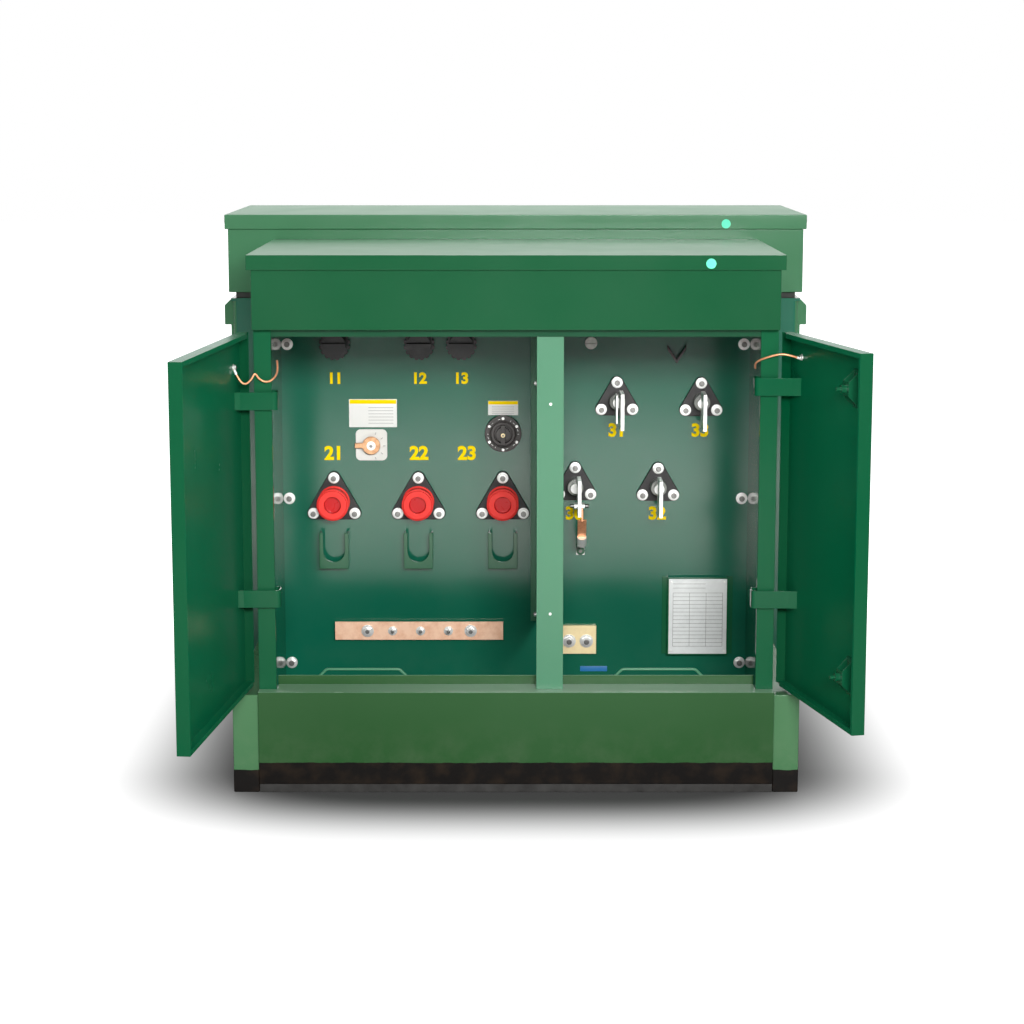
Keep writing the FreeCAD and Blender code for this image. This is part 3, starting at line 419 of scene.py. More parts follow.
TANK_GREEN = enamel("tank_green_enamel", (0.040, 0.155, 0.070), roughness=0.20)
CABINET_GREEN = enamel("cabinet_green_enamel", (0.006, 0.100, 0.040), roughness=0.12, coat=0.4)
HOOD_GREEN = enamel("hood_green_enamel", (0.004, 0.070, 0.025), roughness=0.15, sheen=0.2)
WALL_GREEN = enamel("terminal_wall_enamel", (0.003, 0.110, 0.062), roughness=0.16, coat=0.3,
                    sheen=0.5)
DOOR_GREEN = enamel("door_green_enamel", (0.0, 0.112, 0.046), roughness=0.25, dust=0.01, coat=0.0,
                    sheen=0.04)
# darker copy of the door green: painted shade on the doors' front-facing edges
DOOR_EDGE_SHADE = enamel("door_edge_shade_enamel", (0.0, 0.060, 0.022), roughness=0.2, dust=0.01, coat=0.0,
                   sheen=0.05)
LATCH_GREEN = enamel("latch_enamel", (0.0, 0.070, 0.028), roughness=0.22, dust=0.01, coat=0.3)
STRAP_GREEN = enamel("strap_green_enamel", (0.002, 0.080, 0.032), roughness=0.15, coat=0.0,
                     sheen=0.1)
DIVIDER_GREEN = enamel("divider_green_enamel", (0.054, 0.190, 0.105), roughness=0.30)
JAMB_GREEN = enamel("jamb_green_enamel", (0.005, 0.085, 0.034), roughness=0.15, coat=0.0,
                    sheen=0.05)
# darker copy of the cabinet green: painted shade on the header channel under the hood
HEADER_SHADE_GREEN = enamel("header_shade_enamel", (0.006, 0.060, 0.026), roughness=0.15, sheen=0.2)
SILL_PAINT = enamel("sill_paint", (0.022, 0.080, 0.024), roughness=0.2, band=0.0800, dust=0.08,
                    reach=0.2, coat=0.0, sheen=0.15)
RAIL_PAINT = enamel("rail_paint", (0.060, 0.165, 0.072), roughness=0.2, band=0.0595, dust=0.12,
                    reach=0.2, coat=0.0, sheen=0.2)
# paler, glossier green: a painted highlight along the sill's top ledge
SILL_LEDGE_HIGHLIGHT = enamel("sill_ledge_highlight_enamel", (0.180, 0.340, 0.210), roughness=0.25, sheen=0.5)
# paler green for the roofs' up-facing faces: painted sky glare, with a light dust film
ROOF_GLARE_GREEN = enamel("roof_glare_enamel", (0.072, 0.182, 0.102), roughness=0.42, dust=0.05, coat=0.0,
                    sheen=0.25)
UNDERCOAT = moulding("black_undercoat", (0.008, 0.007, 0.006), roughness=0.55, grain=300.0)
GASKET = moulding("gasket_rubber", (0.012, 0.016, 0.012), roughness=0.7)
BLACK = moulding("black_moulding", (0.006, 0.006, 0.007), roughness=0.16, coat=0.3, depth=0.00001,
                 variation=0.1)
CLAMP_BLACK = moulding("clamp_black", (0.022, 0.020, 0.021), roughness=0.42, sheen=0.3)
DARK = moulding("dark_moulding", (0.035, 0.028, 0.026), roughness=0.4)
RED = moulding("red_cap_plastic", (0.90, 0.042, 0.034), roughness=0.4, variation=0.15, sheen=0.2)
PORCELAIN = moulding("grey_porcelain", (0.20, 0.21, 0.19), roughness=0.18, coat=0.6)
WHITE_PLATE = moulding("white_plate", (0.74, 0.73, 0.69), roughness=0.4)
COPPER = metal("copper_bar", (0.93, 0.62, 0.44), (0.72, 0.40, 0.25), 0.6, 0.48, 34.0, 0.55)
COPPER_WIRE = metal("copper_wire", (0.90, 0.42, 0.22), (0.55, 0.18, 0.08), 0.5, 0.40, 160.0, 0.6)
TAP_BRONZE = metal("tap_bronze", (0.62, 0.36, 0.20), (0.36, 0.17, 0.08), 0.7, 0.36, 90.0, 0.8)
PLUG_STEEL = metal("plug_steel", (0.42, 0.43, 0.40), (0.26, 0.26, 0.24), 0.5, 0.42, 90.0, 0.7)
# darker red: painted shade in the recessed dish of each dust cap
RED_DISH_SHADE = moulding("red_cap_dish_shade", (0.55, 0.002, 0.005), roughness=0.3, variation=0.1,
                      sheen=0.3)
PALE_BRASS = metal("pale_brass", (0.92, 0.76, 0.44), (0.76, 0.58, 0.32), 0.4, 0.48, 40.0, 0.5)
TINNED = metal("tinned_copper", (0.90, 0.90, 0.88), (0.66, 0.66, 0.62), 0.35, 0.40, 70.0, 0.6)
ZINC = metal("zinc_plated_steel", (0.86, 0.86, 0.84), (0.56, 0.55, 0.52), 0.4, 0.34, 120.0, 0.75)
DARK_STEEL = metal("dark_steel", (0.22, 0.22, 0.21), (0.10, 0.09, 0.08), 0.5, 0.4, 120.0)
PLATE_METAL = metal("nameplate_metal", (0.74, 0.76, 0.75), (0.55, 0.57, 0.56), 0.3, 0.50, 30.0,
                    0.45)
AMBER_PAINT = moulding("amber_marks", (1.0, 0.72, 0.0), roughness=0.7, variation=0.05, sheen=0.05)
STICKER_WHITE = moulding("white_sticker", (0.80, 0.80, 0.77), roughness=0.35)
STICKER_GREY = moulding("grey_print", (0.25, 0.25, 0.25), roughness=0.5)
STICKER_BLUE = moulding("blue_sticker", (0.01, 0.16, 0.42), roughness=0.4)
STICKER_MINT = moulding("mint_sticker", (0.06, 0.72, 0.42), roughness=0.5)

# ---- CAD nodes: finish and edge round of each ----
NODE_FINISH = {
    "tank_body": (TANK_GREEN, 0.0020), "cover_gasket": (GASKET, 0.0015),
    "tank_cover_box": (TANK_GREEN, 0.0025), "tank_cover_cap": (TANK_GREEN, 0.0025),
    "left_lifting_lugs": (TANK_GREEN, 0.0020), "right_lifting_lugs": (TANK_GREEN, 0.0020),
    "left_base_rail": (RAIL_PAINT, 0.0030), "right_base_rail": (RAIL_PAINT, 0.0030),
    "front_base_rail": (UNDERCOAT, 0.0015),
    "left_cabinet_wall": (CABINET_GREEN, 0.0010), "right_cabinet_wall": (CABINET_GREEN, 0.0010),
    "left_jamb": (JAMB_GREEN, 0.0012), "right_jamb": (JAMB_GREEN, 0.0012),
    "cabinet_hood": (HOOD_GREEN, 0.0012), "hood_cap": (HOOD_GREEN, 0.0012),
    "header_channel": (HEADER_SHADE_GREEN, 0.0010), "front_sill": (SILL_PAINT, 0.0012),
    "sill_handles": (DIVIDER_GREEN, 0.0005), "divider": (DIVIDER_GREEN, 0.0010),
    "hv_bushings": (CLAMP_BLACK, 0.0025), "hv_dust_caps": (RED, 0.0020),
    "parking_stands": (CABINET_GREEN, 0.0012), "fuse_holders": (BLACK, 0.0012),
    "tap_changer_plate": (WHITE_PLATE, 0.0006), "tap_changer_handle": (TAP_BRONZE, 0.0015),
    "switch_disc": (DARK, 0.0015), "switch_hub": (DARK, 0.0015),
    "ground_bar": (COPPER, 0.0008), "ground_bar_standoffs": (CABINET_GREEN, 0.0010),
    "lv_bushings": (CLAMP_BLACK, 0.0025), "lv_spades": (TINNED, 0.0008),
    "lv_ground_pad": (PALE_BRASS, 0.0010), "neutral_strap": (COPPER_WIRE, 0.0008),
    "nameplate_bracket": (CABINET_GREEN, 0.0008), "nameplate": (PLATE_METAL, 0.0004),
    "fill_plug": (PLUG_STEEL, 0.0015), "vee_bracket": (BLACK, 0.0010),
    "left_door": (DOOR_GREEN, 0.0012), "right_door": (DOOR_GREEN, 0.0012),
    "left_hinge_straps": (STRAP_GREEN, 0.0008), "right_hinge_straps": (STRAP_GREEN, 0.0008),
    "left_hinge_brackets": (CABINET_GREEN, 0.0008), "right_hinge_brackets": (CABINET_GREEN, 0.0008),
    "door_latches": (LATCH_GREEN, 0.0010), "door_pull": (DARK, 0.0012),
}
NODE_BODY = {node: body for body, nodes in frame["record"]["behaviour"]["bodies"].items()
             for node in nodes}


def dressed(node, material, width):
    """A merged copy of a CAD node with rounded edges, standing for it."""
    source = frame["nodes"][node]
    piece = source.copy()
    piece.data = source.data.copy()
    piece.parent = None
    bpy.context.collection.objects.link(piece)
    piece.matrix_world = source.matrix_world.copy()
    settle(piece, node + "_finished")
    bpy.ops.object.mode_set(mode="EDIT")
    bpy.ops.mesh.select_all(action="SELECT")
    bpy.ops.mesh.remove_doubles(threshold=1e-6)
    bpy.ops.mesh.dissolve_limited(angle_limit=math.radians(0.5))
    leave_edit()
    soften(piece, width)
    finish(piece, material, NODE_BODY[node])
    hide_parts(node)
    return piece


DRESSED = {node: dressed(node, material, width)
           for node, (material, width) in NODE_FINISH.items()}


def repaint(piece, material, test):
    """Give the faces whose middle passes the test a second material."""
    piece.data.materials.append(material)
    index = len(piece.data.materials) - 1
    for face in piece.data.polygons:
        if test(face.center, face.normal):
            face.material_index = index


repaint(DRESSED["tank_body"], WALL_GREEN,
        lambda spot, way: spot.y < WALL_Y + 0.001 and way.y < -0.9 and
        abs(spot.x) < CABINET_HALF + 0.2)
CAP_CENTRES = [middle(pair) for pair in solids("hv_dust_caps")]
CAP_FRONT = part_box("hv_dust_caps")[0][1]
CAP_DISH_RADIUS = 0.0235
# painted shade in each cap's recessed dish
repaint(DRESSED["hv_dust_caps"], RED_DISH_SHADE,
        lambda spot, way: spot.y > CAP_FRONT + 0.002 and spot.y < CAP_FRONT + 0.018 and
        min((spot - centre).xz.length for centre in CAP_CENTRES) < CAP_DISH_RADIUS)
# painted sky glare: the caps' up-facing faces get the paler roof green
for cap in ("hood_cap", "tank_cover_cap"):
    repaint(DRESSED[cap], ROOF_GLARE_GREEN, lambda spot, way: way.z > 0.9)
# painted highlight on the sill's up-facing top ledge
repaint(DRESSED["front_sill"], SILL_LEDGE_HIGHLIGHT, lambda spot, way: way.z > 0.4 and spot.z > 0.255)
# painted shade: door faces that look to the front at rest get the darker door green
for door in ("left_door", "right_door"):
    repaint(DRESSED[door], DOOR_EDGE_SHADE, lambda spot, way: way.y < -0.7)
repaint(DRESSED["neutral_strap"], TINNED, lambda spot, way: spot.z < 0.530)
repaint(DRESSED["lv_bushings"], PORCELAIN, lambda spot, way: spot.y < CLAMP_FRONT - 0.001)

# ---- bonding leads between each door and its jamb ----
LEFT_ROUTE = ((-0.702, -1.034, 1.086), (-0.692, -1.034, 1.062), (-0.676, -1.033, 1.047),
              (-0.659, -1.031, 1.062), (-0.651, -1.029, 1.079), (-0.640, -1.027, 1.060),
              (-0.620, -1.025, 1.053), (-0.602, -1.014, 1.064), (-0.596, -0.996, 1.084),
              (-0.600, -0.984, 1.104))
RIGHT_ROUTE = ((0.711, -1.030, 1.113), (0.690, -1.034, 1.120), (0.662, -1.033, 1.126),
               (0.633, -1.028, 1.119), (0.607, -1.014, 1.108), (0.598, -0.994, 1.096),
               (0.602, -0.976, 1.084))
LEAD_DIAMETER = 0.005


def lead_curve(name, route, radius):
    """The mesh of a round wire along a route, or of its centre line where the radius is 0."""
    curve = bpy.data.curves.new(name, "CURVE")
    curve.dimensions = "3D"
    curve.resolution_u = 10
    curve.bevel_depth = radius
    curve.bevel_resolution = 4
    spline = curve.splines.new("NURBS")
    spline.points.add(len(route) - 1)
    for point, spot in zip(spline.points, route):
        point.co = (*spot, 1.0)
    spline.order_u = 3
    spline.use_endpoint_u = True
    holder = bpy.data.objects.new(name, curve)
    bpy.context.collection.objects.link(holder)
    bpy.context.view_layer.update()
    mesh = bpy.data.meshes.new_from_object(holder)
    bpy.data.objects.remove(holder, do_unlink=True)
    return mesh


def lead(side, route):
    """A stranded copper lead along its route, as a round tube."""
    line = lead_curve(side + "_lead_line", route, 0.0)
    tube = bpy.data.objects.new(side + "_bonding_lead_wire",
                                lead_curve(side + "_lead_tube", route, LEAD_DIAMETER / 2))
    bpy.context.collection.objects.link(tube)
    smooth(tube, 60)
    tube.data.materials.append(COPPER_WIRE)
    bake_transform(tube)
    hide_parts(side + "_bonding_lead")


lead("left", LEFT_ROUTE)
lead("right", RIGHT_ROUTE)

# ---- fastenings: (radius, height) of the washer, of the nut or head, and of the stud end ----
CLAMP_NUT = ((0.0155, 0.006), (0.0125, 0.009), (0.0076, 0.007))
WALL_BOLT = ((0.0160, 0.004), (0.0120, 0.007), (0.0078, 0.004))
BAR_BOLT = ((0.0175, 0.003), (0.0125, 0.008), (0.006, 0.005))
TERMINAL_BOLT = ((0.0130, 0.0025), (0.0095, 0.007), (0.005, 0.006))
PAD_BOLT = ((0.0190, 0.003), (0.0150, 0.009), (0.0075, 0.007))
TAP_NUT = ((0.0125, 0.0015), (0.0085, 0.004), (0.0045, 0.0035))
HUB_NUT = ((0.006, 0.001), (0.0048, 0.002), (0.0028, 0.002))
SMALL_BOLT = ((0.0085, 0.0015), (0.0062, 0.005), (0.003, 0.003))
CROSS_BOLT = ((0.0105, 0.002), (0.0095, 0.007), (0.0055, 0.012))
EARTH_BOLT = ((0.0120, 0.002), (0.0095, 0.007), (0.005, 0.003))


# Each is modelled once at the origin, facing the front.
def disc(radius, start, height, sides=32):
    """A short cylinder that starts in front of the origin."""
    bpy.ops.mesh.primitive_cylinder_add(vertices=sides, radius=radius, depth=height,
                                        location=(0, -start - height / 2, 0),
                                        rotation=(math.radians(90), 0, 0))
    return settle(bpy.context.object, "disc")


def inset_front(piece, thickness, depth):
    """Inset the foremost face and push it in, or out when the depth is negative."""
    front = min(vertex.co.y for vertex in piece.data.vertices)
    pick(piece, "FACE", lambda spot, way: spot.y < front + 1e-5 and way.y < -0.9)
    bpy.ops.mesh.inset(thickness=thickness, depth=0)
    bpy.ops.mesh.extrude_region_move(TRANSFORM_OT_translate={"value": (0, depth, 0)})
    leave_edit()


def bolt(name, sizes, sides=6, tint=ZINC):
    """A washer, a nut or head, and a stud end."""
    washer, head, end = sizes
    rest = disc(washer[0], 0, washer[1])
    inset_front(rest, washer[0] * 0.12, -washer[1] * 0.12)
    soften(rest, washer[1] * 0.2)
    rest.data.materials.append(tint)
    nut = disc(head[0], washer[1] * 1.12, head[1], sides)
    inset_front(nut, head[0] * 0.14, -head[1] * 0.08)
    soften(nut, head[1] * 0.08)
    nut.data.materials.append(tint)
    tip = disc(end[0], washer[1] + head[1] * 0.9, end[1], 24)
    inset_front(tip, end[0] * 0.22, -end[1] * 0.12)
    soften(tip, end[1] * 0.06)
    tip.data.materials.append(DARK_STEEL)
    return join([rest, nut, tip], name)


def small_head(name, radius, height, dip):
    """A screw or rivet head, dished where the dip is above 0 and domed where it is below."""
    head = disc(radius, 0, height, 20)
    inset_front(head, 0.0012, dip)
    soften(head, 0.0003)
    head.data.materials.append(ZINC)
    head.name = name
    return head


def placed(pattern, name, spots, body="housing", turn=None):
    """Copies of a fastening at their places, on the body that carries them."""
    group = copies(pattern, name, spots, turn)
    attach(group, body)
    return group


def ring_spots(centres, radius, y, angles=(90, 210, 330)):
    """Places on a circle around each centre, at one depth."""
    return [(centre.x + radius * math.cos(math.radians(angle)), y,
             centre.z + radius * math.sin(math.radians(angle)))
            for centre in centres for angle in angles]


LV_CENTRES = [Vector((middle(pair).x, 0, pair[1].z - LV_CLAMP_EDGE - LV_STUD_RADIUS))
              for pair in solids("lv_bushings")]
white_nut = bolt("clamp_nut", CLAMP_NUT, 24, TINNED)
placed(white_nut, "hv_clamp_nuts", ring_spots(CAP_CENTRES, HV_STUD_RADIUS, CLAMP_FRONT))
placed(white_nut, "lv_clamp_nuts", ring_spots(LV_CENTRES, LV_STUD_RADIUS, CLAMP_FRONT))
remove(white_nut)

WALL_BOLT_INSET = 0.0195
WALL_BOLT_LEVELS = (1.080, 0.645, 0.172)
wall_bolt = bolt("wall_bolt", WALL_BOLT)
placed(wall_bolt, "cabinet_wall_bolts",
       [(side * (CABINET_HALF - WALL_BOLT_INSET), WALL_Y, level) for side in (-1, 1)
        for level in WALL_BOLT_LEVELS])
remove(wall_bolt)

BAR = corners("ground_bar")
BAR_FRONT, BAR_LEVEL = BAR[0].y, middle(BAR).z
GROUND_TERMINALS = (-0.348, -0.269, -0.190)
bar_bolt = bolt("bar_bolt", BAR_BOLT)
placed(bar_bolt, "ground_bar_end_bolts",
       [(middle(pair).x, BAR_FRONT, BAR_LEVEL) for pair in solids("ground_bar_standoffs")])
remove(bar_bolt)
terminal_bolt = bolt("terminal_bolt", TERMINAL_BOLT)
placed(terminal_bolt, "ground_terminal_bolts",
       [(x, BAR_FRONT, BAR_LEVEL) for x in GROUND_TERMINALS])
remove(terminal_bolt)

PAD_LOW = corners("lv_ground_pad")[0]
PAD_BOLT_RISE = 0.038
pad_bolt = bolt("pad_bolt", PAD_BOLT)
placed(pad_bolt, "lv_ground_pad_bolts",
       [(x, PAD_LOW.y, PAD_LOW.z + PAD_BOLT_RISE) for x in (0.152, 0.201)])
remove(pad_bolt)

# ---- marks ----
FIGURE_SHARE = 0.69  # a figure's height as a share of its type size
FIGURE_BOLDNESS = 0.06
PRINT_LIFT = 0.0004
FUSE_CENTRES = [middle(pair) for pair in solids("fuse_holders")]


def numeral(text, x, z, height, y):
    """Plain raised figures on the terminal wall."""
    bpy.ops.object.text_add()
    mark = bpy.context.object
    mark.data.body = text
    mark.data.size = height / FIGURE_SHARE
    mark.data.align_x = "CENTER"
    mark.data.offset = height * FIGURE_BOLDNESS
    mark.data.extrude = 0.0002
    only(mark)
    bpy.ops.object.convert(target="MESH")
    mark = bpy.context.object
    mark.rotation_euler = (math.radians(90), 0, 0)
    mark.location = (x, y, z - height / 2)
    return mark


def numerals(name, height, marks):
    """A row of figures, each given as (text, x, z)."""
    made = [numeral(text, x, z, height, WALL_Y - PRINT_LIFT) for text, x, z in marks]
    finish(join(made, name), AMBER_PAINT, "housing")


numerals("fuse_numbers", 0.029, [(text, centre.x - 0.001, 0.985)
                                 for text, centre in zip(("11", "12", "13"), FUSE_CENTRES)])
numerals("hv_numbers", 0.036, (("21", -0.510, 0.774), ("22", -0.271, 0.774), ("23", -0.136, 0.774)))
numerals("lv_numbers", 0.034, (("31", 0.284, 0.839), ("33", 0.517, 0.839),
                               ("30", 0.165, 0.603), ("32", 0.399, 0.603)))


RULE_THICKNESS = 0.0002


def card(name, left, right, bottom, top, y, thickness, corner, material):
    """A thin plate with rounded corners that faces the front."""
    bpy.ops.mesh.primitive_cube_add(size=1, location=((left + right) / 2, y - thickness / 2,
                                                      (bottom + top) / 2))
    plate = bpy.context.object
    plate.scale = (right - left, thickness, top - bottom)
    settle(plate, name)
    pick(plate, "EDGE", lambda spot, way: abs(way.y) > thickness * 0.5 and
         abs(way.x) < 1e-6 and abs(way.z) < 1e-6)
    bpy.ops.mesh.bevel(offset=corner, segments=4, affect="EDGES")
    leave_edit()
    smooth(plate, 30)
    return finish(plate, material, "housing")


def rules(name, left, right, bottom, top, count, y, width, material, columns=0):
    """Blank ruled lines, as on an empty form."""
    bars = []
    for step in range(count):
        z = bottom + (top - bottom) * step / (count - 1)
        bars.append(((left + right) / 2, z, right - left, width))
    for step in range(columns):
        x = left + (right - left) * step / (columns - 1)
        bars.append((x, (bottom + top) / 2, width, top - bottom))
    made = []
    for x, z, wide, tall in bars:
        bpy.ops.mesh.primitive_cube_add(size=1, location=(x, y - RULE_THICKNESS / 2, z))
        bar = bpy.context.object
        bar.scale = (wide, RULE_THICKNESS, tall)
        made.append(bar)
    return finish(join(made, name), material, "housing")


SKIN = 0.0004
card("left_blank_sticker", -0.466, -0.332, 0.847, 0.926, WALL_Y, SKIN, 0.002, STICKER_WHITE)
card("left_sticker_band", -0.464, -0.334, 0.913, 0.924, WALL_Y - SKIN, SKIN, 0.001, AMBER_PAINT)
rules("left_sticker_rules", -0.412, -0.342, 0.858, 0.902, 6, WALL_Y - SKIN, 0.0012, STICKER_GREY)
card("right_blank_sticker", -0.077, 0.007, 0.881, 0.921, WALL_Y, SKIN, 0.0015, STICKER_WHITE)
card("right_sticker_band", -0.076, 0.006, 0.911, 0.920, WALL_Y - SKIN, SKIN, 0.001, AMBER_PAINT)
rules("right_sticker_rules", -0.066, -0.004, 0.886, 0.904, 4, WALL_Y - SKIN, 0.001, STICKER_GREY)
card("blue_sticker", 0.184, 0.261, 0.146, 0.161, WALL_Y, SKIN, 0.001, STICKER_BLUE)

# nameplate: a blank etched form with four rivets
NAME_LOW, NAME_HIGH = corners("nameplate")
rules("nameplate_grid", NAME_LOW.x + 0.012, NAME_HIGH.x - 0.012, NAME_LOW.z + 0.022,
      NAME_HIGH.z - 0.040, 15, NAME_LOW.y, 0.0009, DARK_STEEL, 4)
rules("nameplate_head", NAME_LOW.x + 0.012, NAME_HIGH.x - 0.060, NAME_HIGH.z - 0.026,
      NAME_HIGH.z - 0.014, 2, NAME_LOW.y, 0.0009, DARK_STEEL)
rivet = small_head("rivet", 0.0032, 0.0016, -0.0006)
placed(rivet, "nameplate_rivets",
       [(x, NAME_LOW.y, z) for x in (NAME_LOW.x + 0.007, NAME_HIGH.x - 0.007)
        for z in (NAME_LOW.z + 0.009, NAME_HIGH.z - 0.009)])
remove(rivet)

# round stickers on the two cover lips
dot = disc(0.0125, 0, SKIN, 32)
inset_front(dot, 0.001, -0.0001)
smooth(dot, 30)
for name, x, cap, z in (("tank_dot", 0.580, "tank_cover_cap", 1.414),
                        ("hood_dot", 0.481, "hood_cap", 1.351)):
    finish(copies(dot, name, [(x, corners(cap)[0].y, z)]), STICKER_MINT, "housing")
remove(dot)


def dial_marks(name, centre, face, reach, thickness, marks, material):
    """Raised marks around a dial, each given as (degrees, length outwards, width)."""
    made = []
    for degrees, length, width in marks:
        angle = math.radians(degrees)
        bpy.ops.mesh.primitive_cube_add(size=1, rotation=(0, -angle, 0),
                                        location=(centre.x + reach * math.cos(angle),
                                                  face - thickness / 2,
                                                  centre.z + reach * math.sin(angle)))
        bpy.context.object.scale = (length, thickness, width)
        made.append(bpy.context.object)
    finish(join(made, name), material, "housing")


# ---- tap changer ----
PLATE = corners("tap_changer_plate")
TAP_CENTRE = Vector((middle(PLATE).x, corners("tap_changer_handle")[0].y, middle(PLATE).z))
tap_nut = bolt("tap_nut", TAP_NUT)
placed(tap_nut, "tap_changer_nut", [TAP_CENTRE], "tap_handle")
remove(tap_nut)
dial_marks("tap_changer_ticks", TAP_CENTRE, PLATE[0].y, 0.037, 0.0002,
           [(degrees, 0.007, 0.0014) for degrees in (-70, -35, 0, 35, 70)], STICKER_GREY)

# ---- load switch: rim screws, scale marks and a shaft nut ----
DISC = corners("switch_disc")
DISC_FRONT, DISC_CENTRE = DISC[0].y, middle(DISC)
rim_screw = small_head("rim_screw", 0.0042, 0.002, 0.0006)
placed(rim_screw, "switch_rim_screws",
       ring_spots([DISC_CENTRE], 0.0440, DISC_FRONT, range(30, 390, 60)))
remove(rim_screw)
bpy.ops.mesh.primitive_torus_add(major_radius=0.036, minor_radius=0.0016, major_segments=72,
                                 minor_segments=8, rotation=(math.radians(90), 0, 0),
                                 location=(DISC_CENTRE.x, DISC_FRONT, DISC_CENTRE.z))
ring = settle(bpy.context.object, "switch_scale_ring")
smooth(ring, 60)
finish(ring, DARK, "housing")
dial_marks("switch_scale_marks", DISC_CENTRE, DISC_FRONT, 0.0425, 0.0004,
           [(15 * step, 0.0016, 0.006) if step % 2 else (15 * step, 0.004, 0.0016)
            for step in range(24) if step % 6 not in (2, 5)], STICKER_WHITE)
hub_nut = bolt("hub_nut", HUB_NUT, tint=PALE_BRASS)
placed(hub_nut, "switch_hub_nut",
       [(DISC_CENTRE.x, corners("switch_hub")[0].y, DISC_CENTRE.z)], "switch_handle")
remove(hub_nut)


# ---- small fastenings: barrier, divider flange and leads ----
def turned(degrees):
    return Matrix.Rotation(math.radians(degrees), 4, "Z")


LEFTWARD, RIGHTWARD = turned(-90), turned(90)
OFF_LEFT_DOOR, OFF_RIGHT_DOOR = turned(84), turned(-77)
BARRIER_LEFT = 0.058
small_bolt = bolt("small_bolt", SMALL_BOLT)
placed(small_bolt, "barrier_bolts", [(BARRIER_LEFT, -0.410, z) for z in (0.982, 0.333)],
       turn=LEFTWARD)
placed(small_bolt, "left_lead_bolt", [Vector(LEFT_ROUTE[0]) + Vector((-0.0025, 0, 0.006))],
       "left_door", turn=OFF_LEFT_DOOR)
placed(small_bolt, "right_lead_bolt", [Vector(RIGHT_ROUTE[0]) + Vector((0.0022, 0, 0.004))],
       "right_door", turn=OFF_RIGHT_DOOR)
remove(small_bolt)
flange_screw = small_head("flange_screw", 0.0036, 0.0014, 0.0006)
placed(flange_screw, "divider_screws",
       [(0.087, corners("divider")[0].y, z) for z in (0.997, 0.460)])
remove(flange_screw)


def sleeve(name, start, heading, body, length=0.013, radius=0.0036):
    """The crimped end of a lead."""
    way = Vector(heading).normalized()
    bpy.ops.mesh.primitive_cylinder_add(vertices=20, radius=radius, depth=length,
                                        location=Vector(start) + way * length / 2,
                                        rotation=way.to_track_quat("Z", "Y").to_euler())
    piece = settle(bpy.context.object, name)
    soften(piece, 0.0006)
    finish(piece, TINNED, body)


for side, route in (("left", LEFT_ROUTE), ("right", RIGHT_ROUTE)):
    sleeve(side + "_lead_crimp", route[0], Vector(route[1]) - Vector(route[0]), side + "_door")

# ---- low-voltage blades and the neutral's fastenings ----
SPADE_FRONT = corners("lv_spades")[0].y
NEUTRAL_BLADE = LV_CENTRES[0].x + 0.009
BLADE_HALF = 0.00475
NEUTRAL_BOLT_DROP = 0.016 + 0.0222
STRAP_LOW, STRAP_HIGH = corners("neutral_strap")
STRAP_MIDDLE = (STRAP_LOW.x + STRAP_HIGH.x) / 2
BARREL_LENGTH, BARREL_RADIUS = 0.030, 0.0138

bpy.ops.mesh.primitive_cube_add(size=1, location=(LV_CENTRES[1].x - 0.006, SPADE_FRONT + 0.034,
                                                  LV_CENTRES[1].z - 0.009))
blade = bpy.context.object
blade.scale = (0.005, 0.052, 0.078)
settle(blade, "lv_link_blade")
soften(blade, 0.0008)
finish(blade, TINNED, "housing")

cross_bolt = bolt("cross_bolt", CROSS_BOLT)
level = LV_CENTRES[0].z - NEUTRAL_BOLT_DROP
for name, x, way in (("neutral_bolt_left", NEUTRAL_BLADE - BLADE_HALF, LEFTWARD),
                     ("neutral_bolt_right", NEUTRAL_BLADE + BLADE_HALF, RIGHTWARD)):
    placed(cross_bolt, name, [(x, SPADE_FRONT + 0.026, level)], turn=way)
remove(cross_bolt)
sleeve("neutral_lug_barrel", (STRAP_MIDDLE, -0.4303, 0.557), (0, 0.544, -0.839), "housing",
       BARREL_LENGTH, BARREL_RADIUS)
green_bolt = bolt("earth_bolt", EARTH_BOLT, tint=CABINET_GREEN)
placed(green_bolt, "neutral_earth_bolt", [(STRAP_MIDDLE, WALL_Y - 0.005, STRAP_LOW.z + 0.012)])
remove(green_bolt)


# ---- studio ----
CAMERA_DISTANCE = 6.027
CAMERA_HEIGHT = 1.7315
CAMERA_ASIDE = -0.010
CAMERA_DIP = 9.5
CAMERA_LENS = 85.08
SHADOW_INNER, SHADOW_OUTER = 0.38, 1.0
SHADOW_ACROSS = 0.810
SHADOW_DEPTH = 1.43
SHADOW_FRONT, SHADOW_BACK = 1.186, 0.14
SKY_LOW = 0.08
SKY_HIGH = 0.5
BACK_GLOW = 1.4


def camera():
    """The viewpoint: a standing person some six metres in front of the cabinet."""
    data = bpy.data.cameras.new("camera")
    data.sensor_width = 36.0
    data.lens = CAMERA_LENS
    holder = bpy.data.objects.new("camera", data)
    holder.location = (CAMERA_ASIDE, JAMB_Y - CAMERA_DISTANCE, CAMERA_HEIGHT)
    holder.rotation_euler = (math.radians(90.0 - CAMERA_DIP), 0, 0)
    bpy.context.collection.objects.link(holder)
    bpy.context.scene.camera = holder


def soft_light(name, spot, target, size, power, tint=(1, 1, 1)):
    """A broad lamp that faces its target."""
    data = bpy.data.lights.new(name, "AREA")
    data.shape = "RECTANGLE"
    data.size, data.size_y = size
    data.energy = power
    data.color = tint
    holder = bpy.data.objects.new(name, data)
    holder.location = spot
    way = Vector(target) - Vector(spot)
    holder.rotation_euler = way.to_track_quat("-Z", "Y").to_euler()
    bpy.context.collection.objects.link(holder)


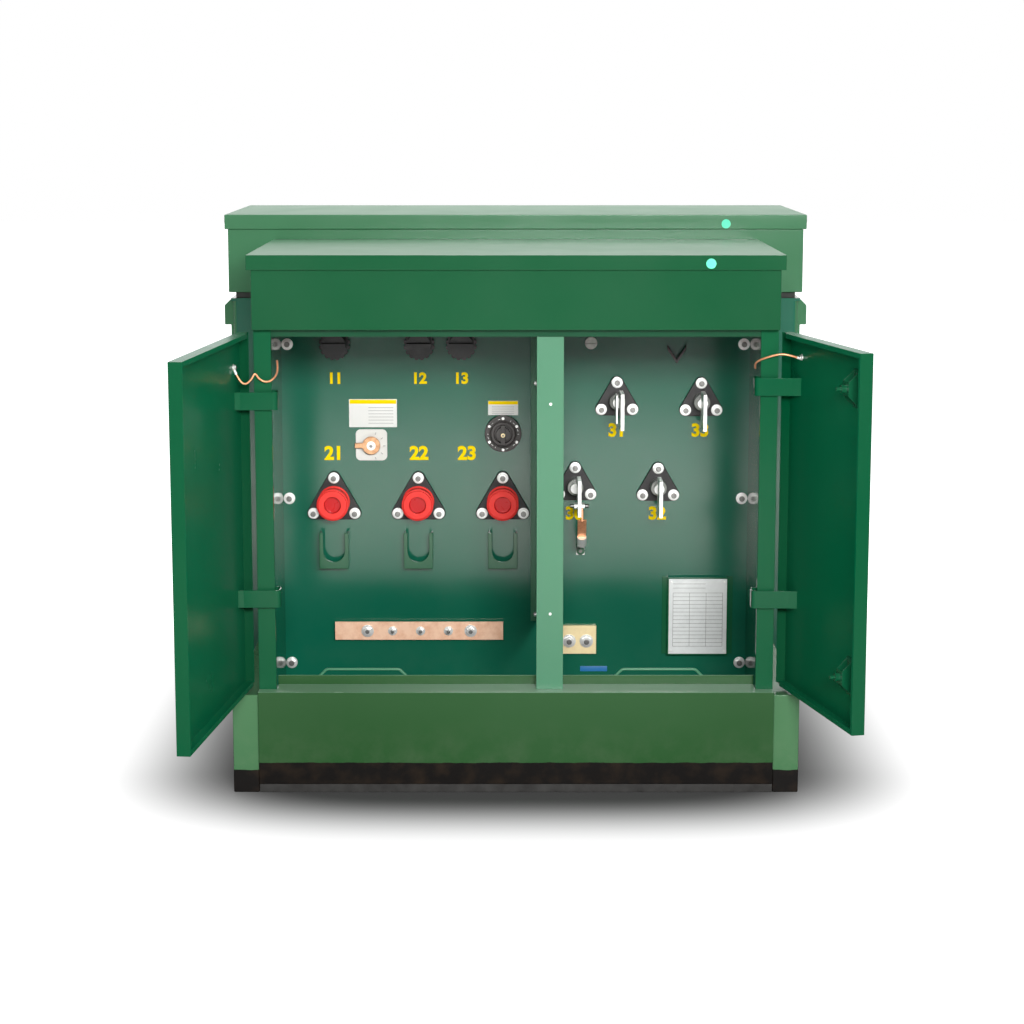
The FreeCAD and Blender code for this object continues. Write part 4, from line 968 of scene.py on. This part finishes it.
def floor():
    """A pale studio floor with a painted shadow oval: dark under the object, fading into a white
    glow around it.
    """
    bpy.ops.mesh.primitive_plane_add(size=60.0, location=(0, 0, 0))
    ground = settle(bpy.context.object, "studio_floor")
    material, tree, principled, place = blank_material("studio_floor")
    axes = shader_node(tree, "SeparateXYZ", {0: place}).outputs
    squared = math_node(tree, "MULTIPLY", axes["X"], axes["X"])
    across = math_node(tree, "MULTIPLY", squared, SHADOW_ACROSS)
    forward = math_node(tree, "MULTIPLY", axes["Y"], -SHADOW_DEPTH)
    ahead = math_node(tree, "SUBTRACT", forward, SHADOW_FRONT)
    backward = math_node(tree, "MULTIPLY", axes["Y"], SHADOW_DEPTH)
    behind = math_node(tree, "SUBTRACT", backward, SHADOW_BACK)
    along = math_node(tree, "MAXIMUM", math_node(tree, "MAXIMUM", ahead, behind), 0.0)
    oval = shader_node(tree, "CombineXYZ", {"X": across, "Y": along}).outputs[0]
    away = shader_node(tree, "VectorMath", {0: oval}, operation="LENGTH").outputs["Value"]
    fade = shader_node(tree, "MapRange", {"Value": away, "From Min": SHADOW_INNER,
                                         "From Max": SHADOW_OUTER},
                       interpolation_type="SMOOTHSTEP").outputs["Result"]
    uneven = mix_colour(tree, noise(tree, place, 0.6), colour(0.78, 0.78, 0.78),
                        colour(0.80, 0.80, 0.79))
    # painted shadow: the base colour runs from black under the object to pale further out
    pale = remap(tree, away, 1.0, 1.8, 0.08, 1.0)
    tree.links.new(mix_colour(tree, pale, colour(0, 0, 0), uneven), principled.inputs["Base Color"])
    # camera-only white glow, off inside the painted shadow oval
    tree.links.new(mix_colour(tree, fade, colour(0, 0, 0), colour(1, 1, 1)),
                   principled.inputs["Emission Color"])
    seen = shader_node(tree, "LightPath").outputs["Is Camera Ray"]
    tree.links.new(seen, principled.inputs["Emission Strength"])
    principled.inputs["Roughness"].default_value = 0.9
    ground.data.materials.append(material)


def world():
    """White to the eye, and a dimmer sky that is brightest overhead."""
    sky = bpy.data.worlds.new("studio_air")
    sky.use_nodes = True
    tree = sky.node_tree
    ray = shader_node(tree, "LightPath").outputs["Is Camera Ray"]
    way = shader_node(tree, "TexCoord").outputs["Generated"]
    height = shader_node(tree, "SeparateXYZ", {0: way}).outputs["Z"]
    sky_light = remap(tree, height, -0.1, 0.9, SKY_LOW, SKY_HIGH)
    behind = shader_node(tree, "SeparateXYZ", {0: way}).outputs["Y"]
    lit = math_node(tree, "ADD", sky_light, remap(tree, behind, 0.5, 1.0, 0.0, BACK_GLOW))
    strength = shader_node(tree, "Mix", {0: ray, 2: lit, 3: 1.0}, data_type="FLOAT").outputs[0]
    tree.nodes["Background"].inputs["Color"].default_value = colour(1, 1, 1)
    tree.links.new(strength, tree.nodes["Background"].inputs["Strength"])
    bpy.context.scene.world = sky


camera()
floor()
world()
soft_light("overhead", (0.0, 0.4, 4.2), (0, -0.3, 0.0), (3.0, 2.4), 90)
soft_light("front_main", (0.7, -7.6, 2.7), (0, -0.4, 0.7), (2.4, 0.9), 520)
soft_light("front_right", (3.4, -6.0, 2.8), (0, -0.6, 0.7), (2.0, 2.0), 60)
soft_light("front_left", (-3.8, -6.5, 2.2), (0, -0.6, 0.7), (2.0, 2.0), 35)
soft_light("floor_bounce", (0.0, -4.2, 0.03), (0, -4.2, 5.0), (4.0, 3.0), 38,
           (1.0, 0.87, 0.76))
bpy.context.scene.view_settings.view_transform = "Standard"
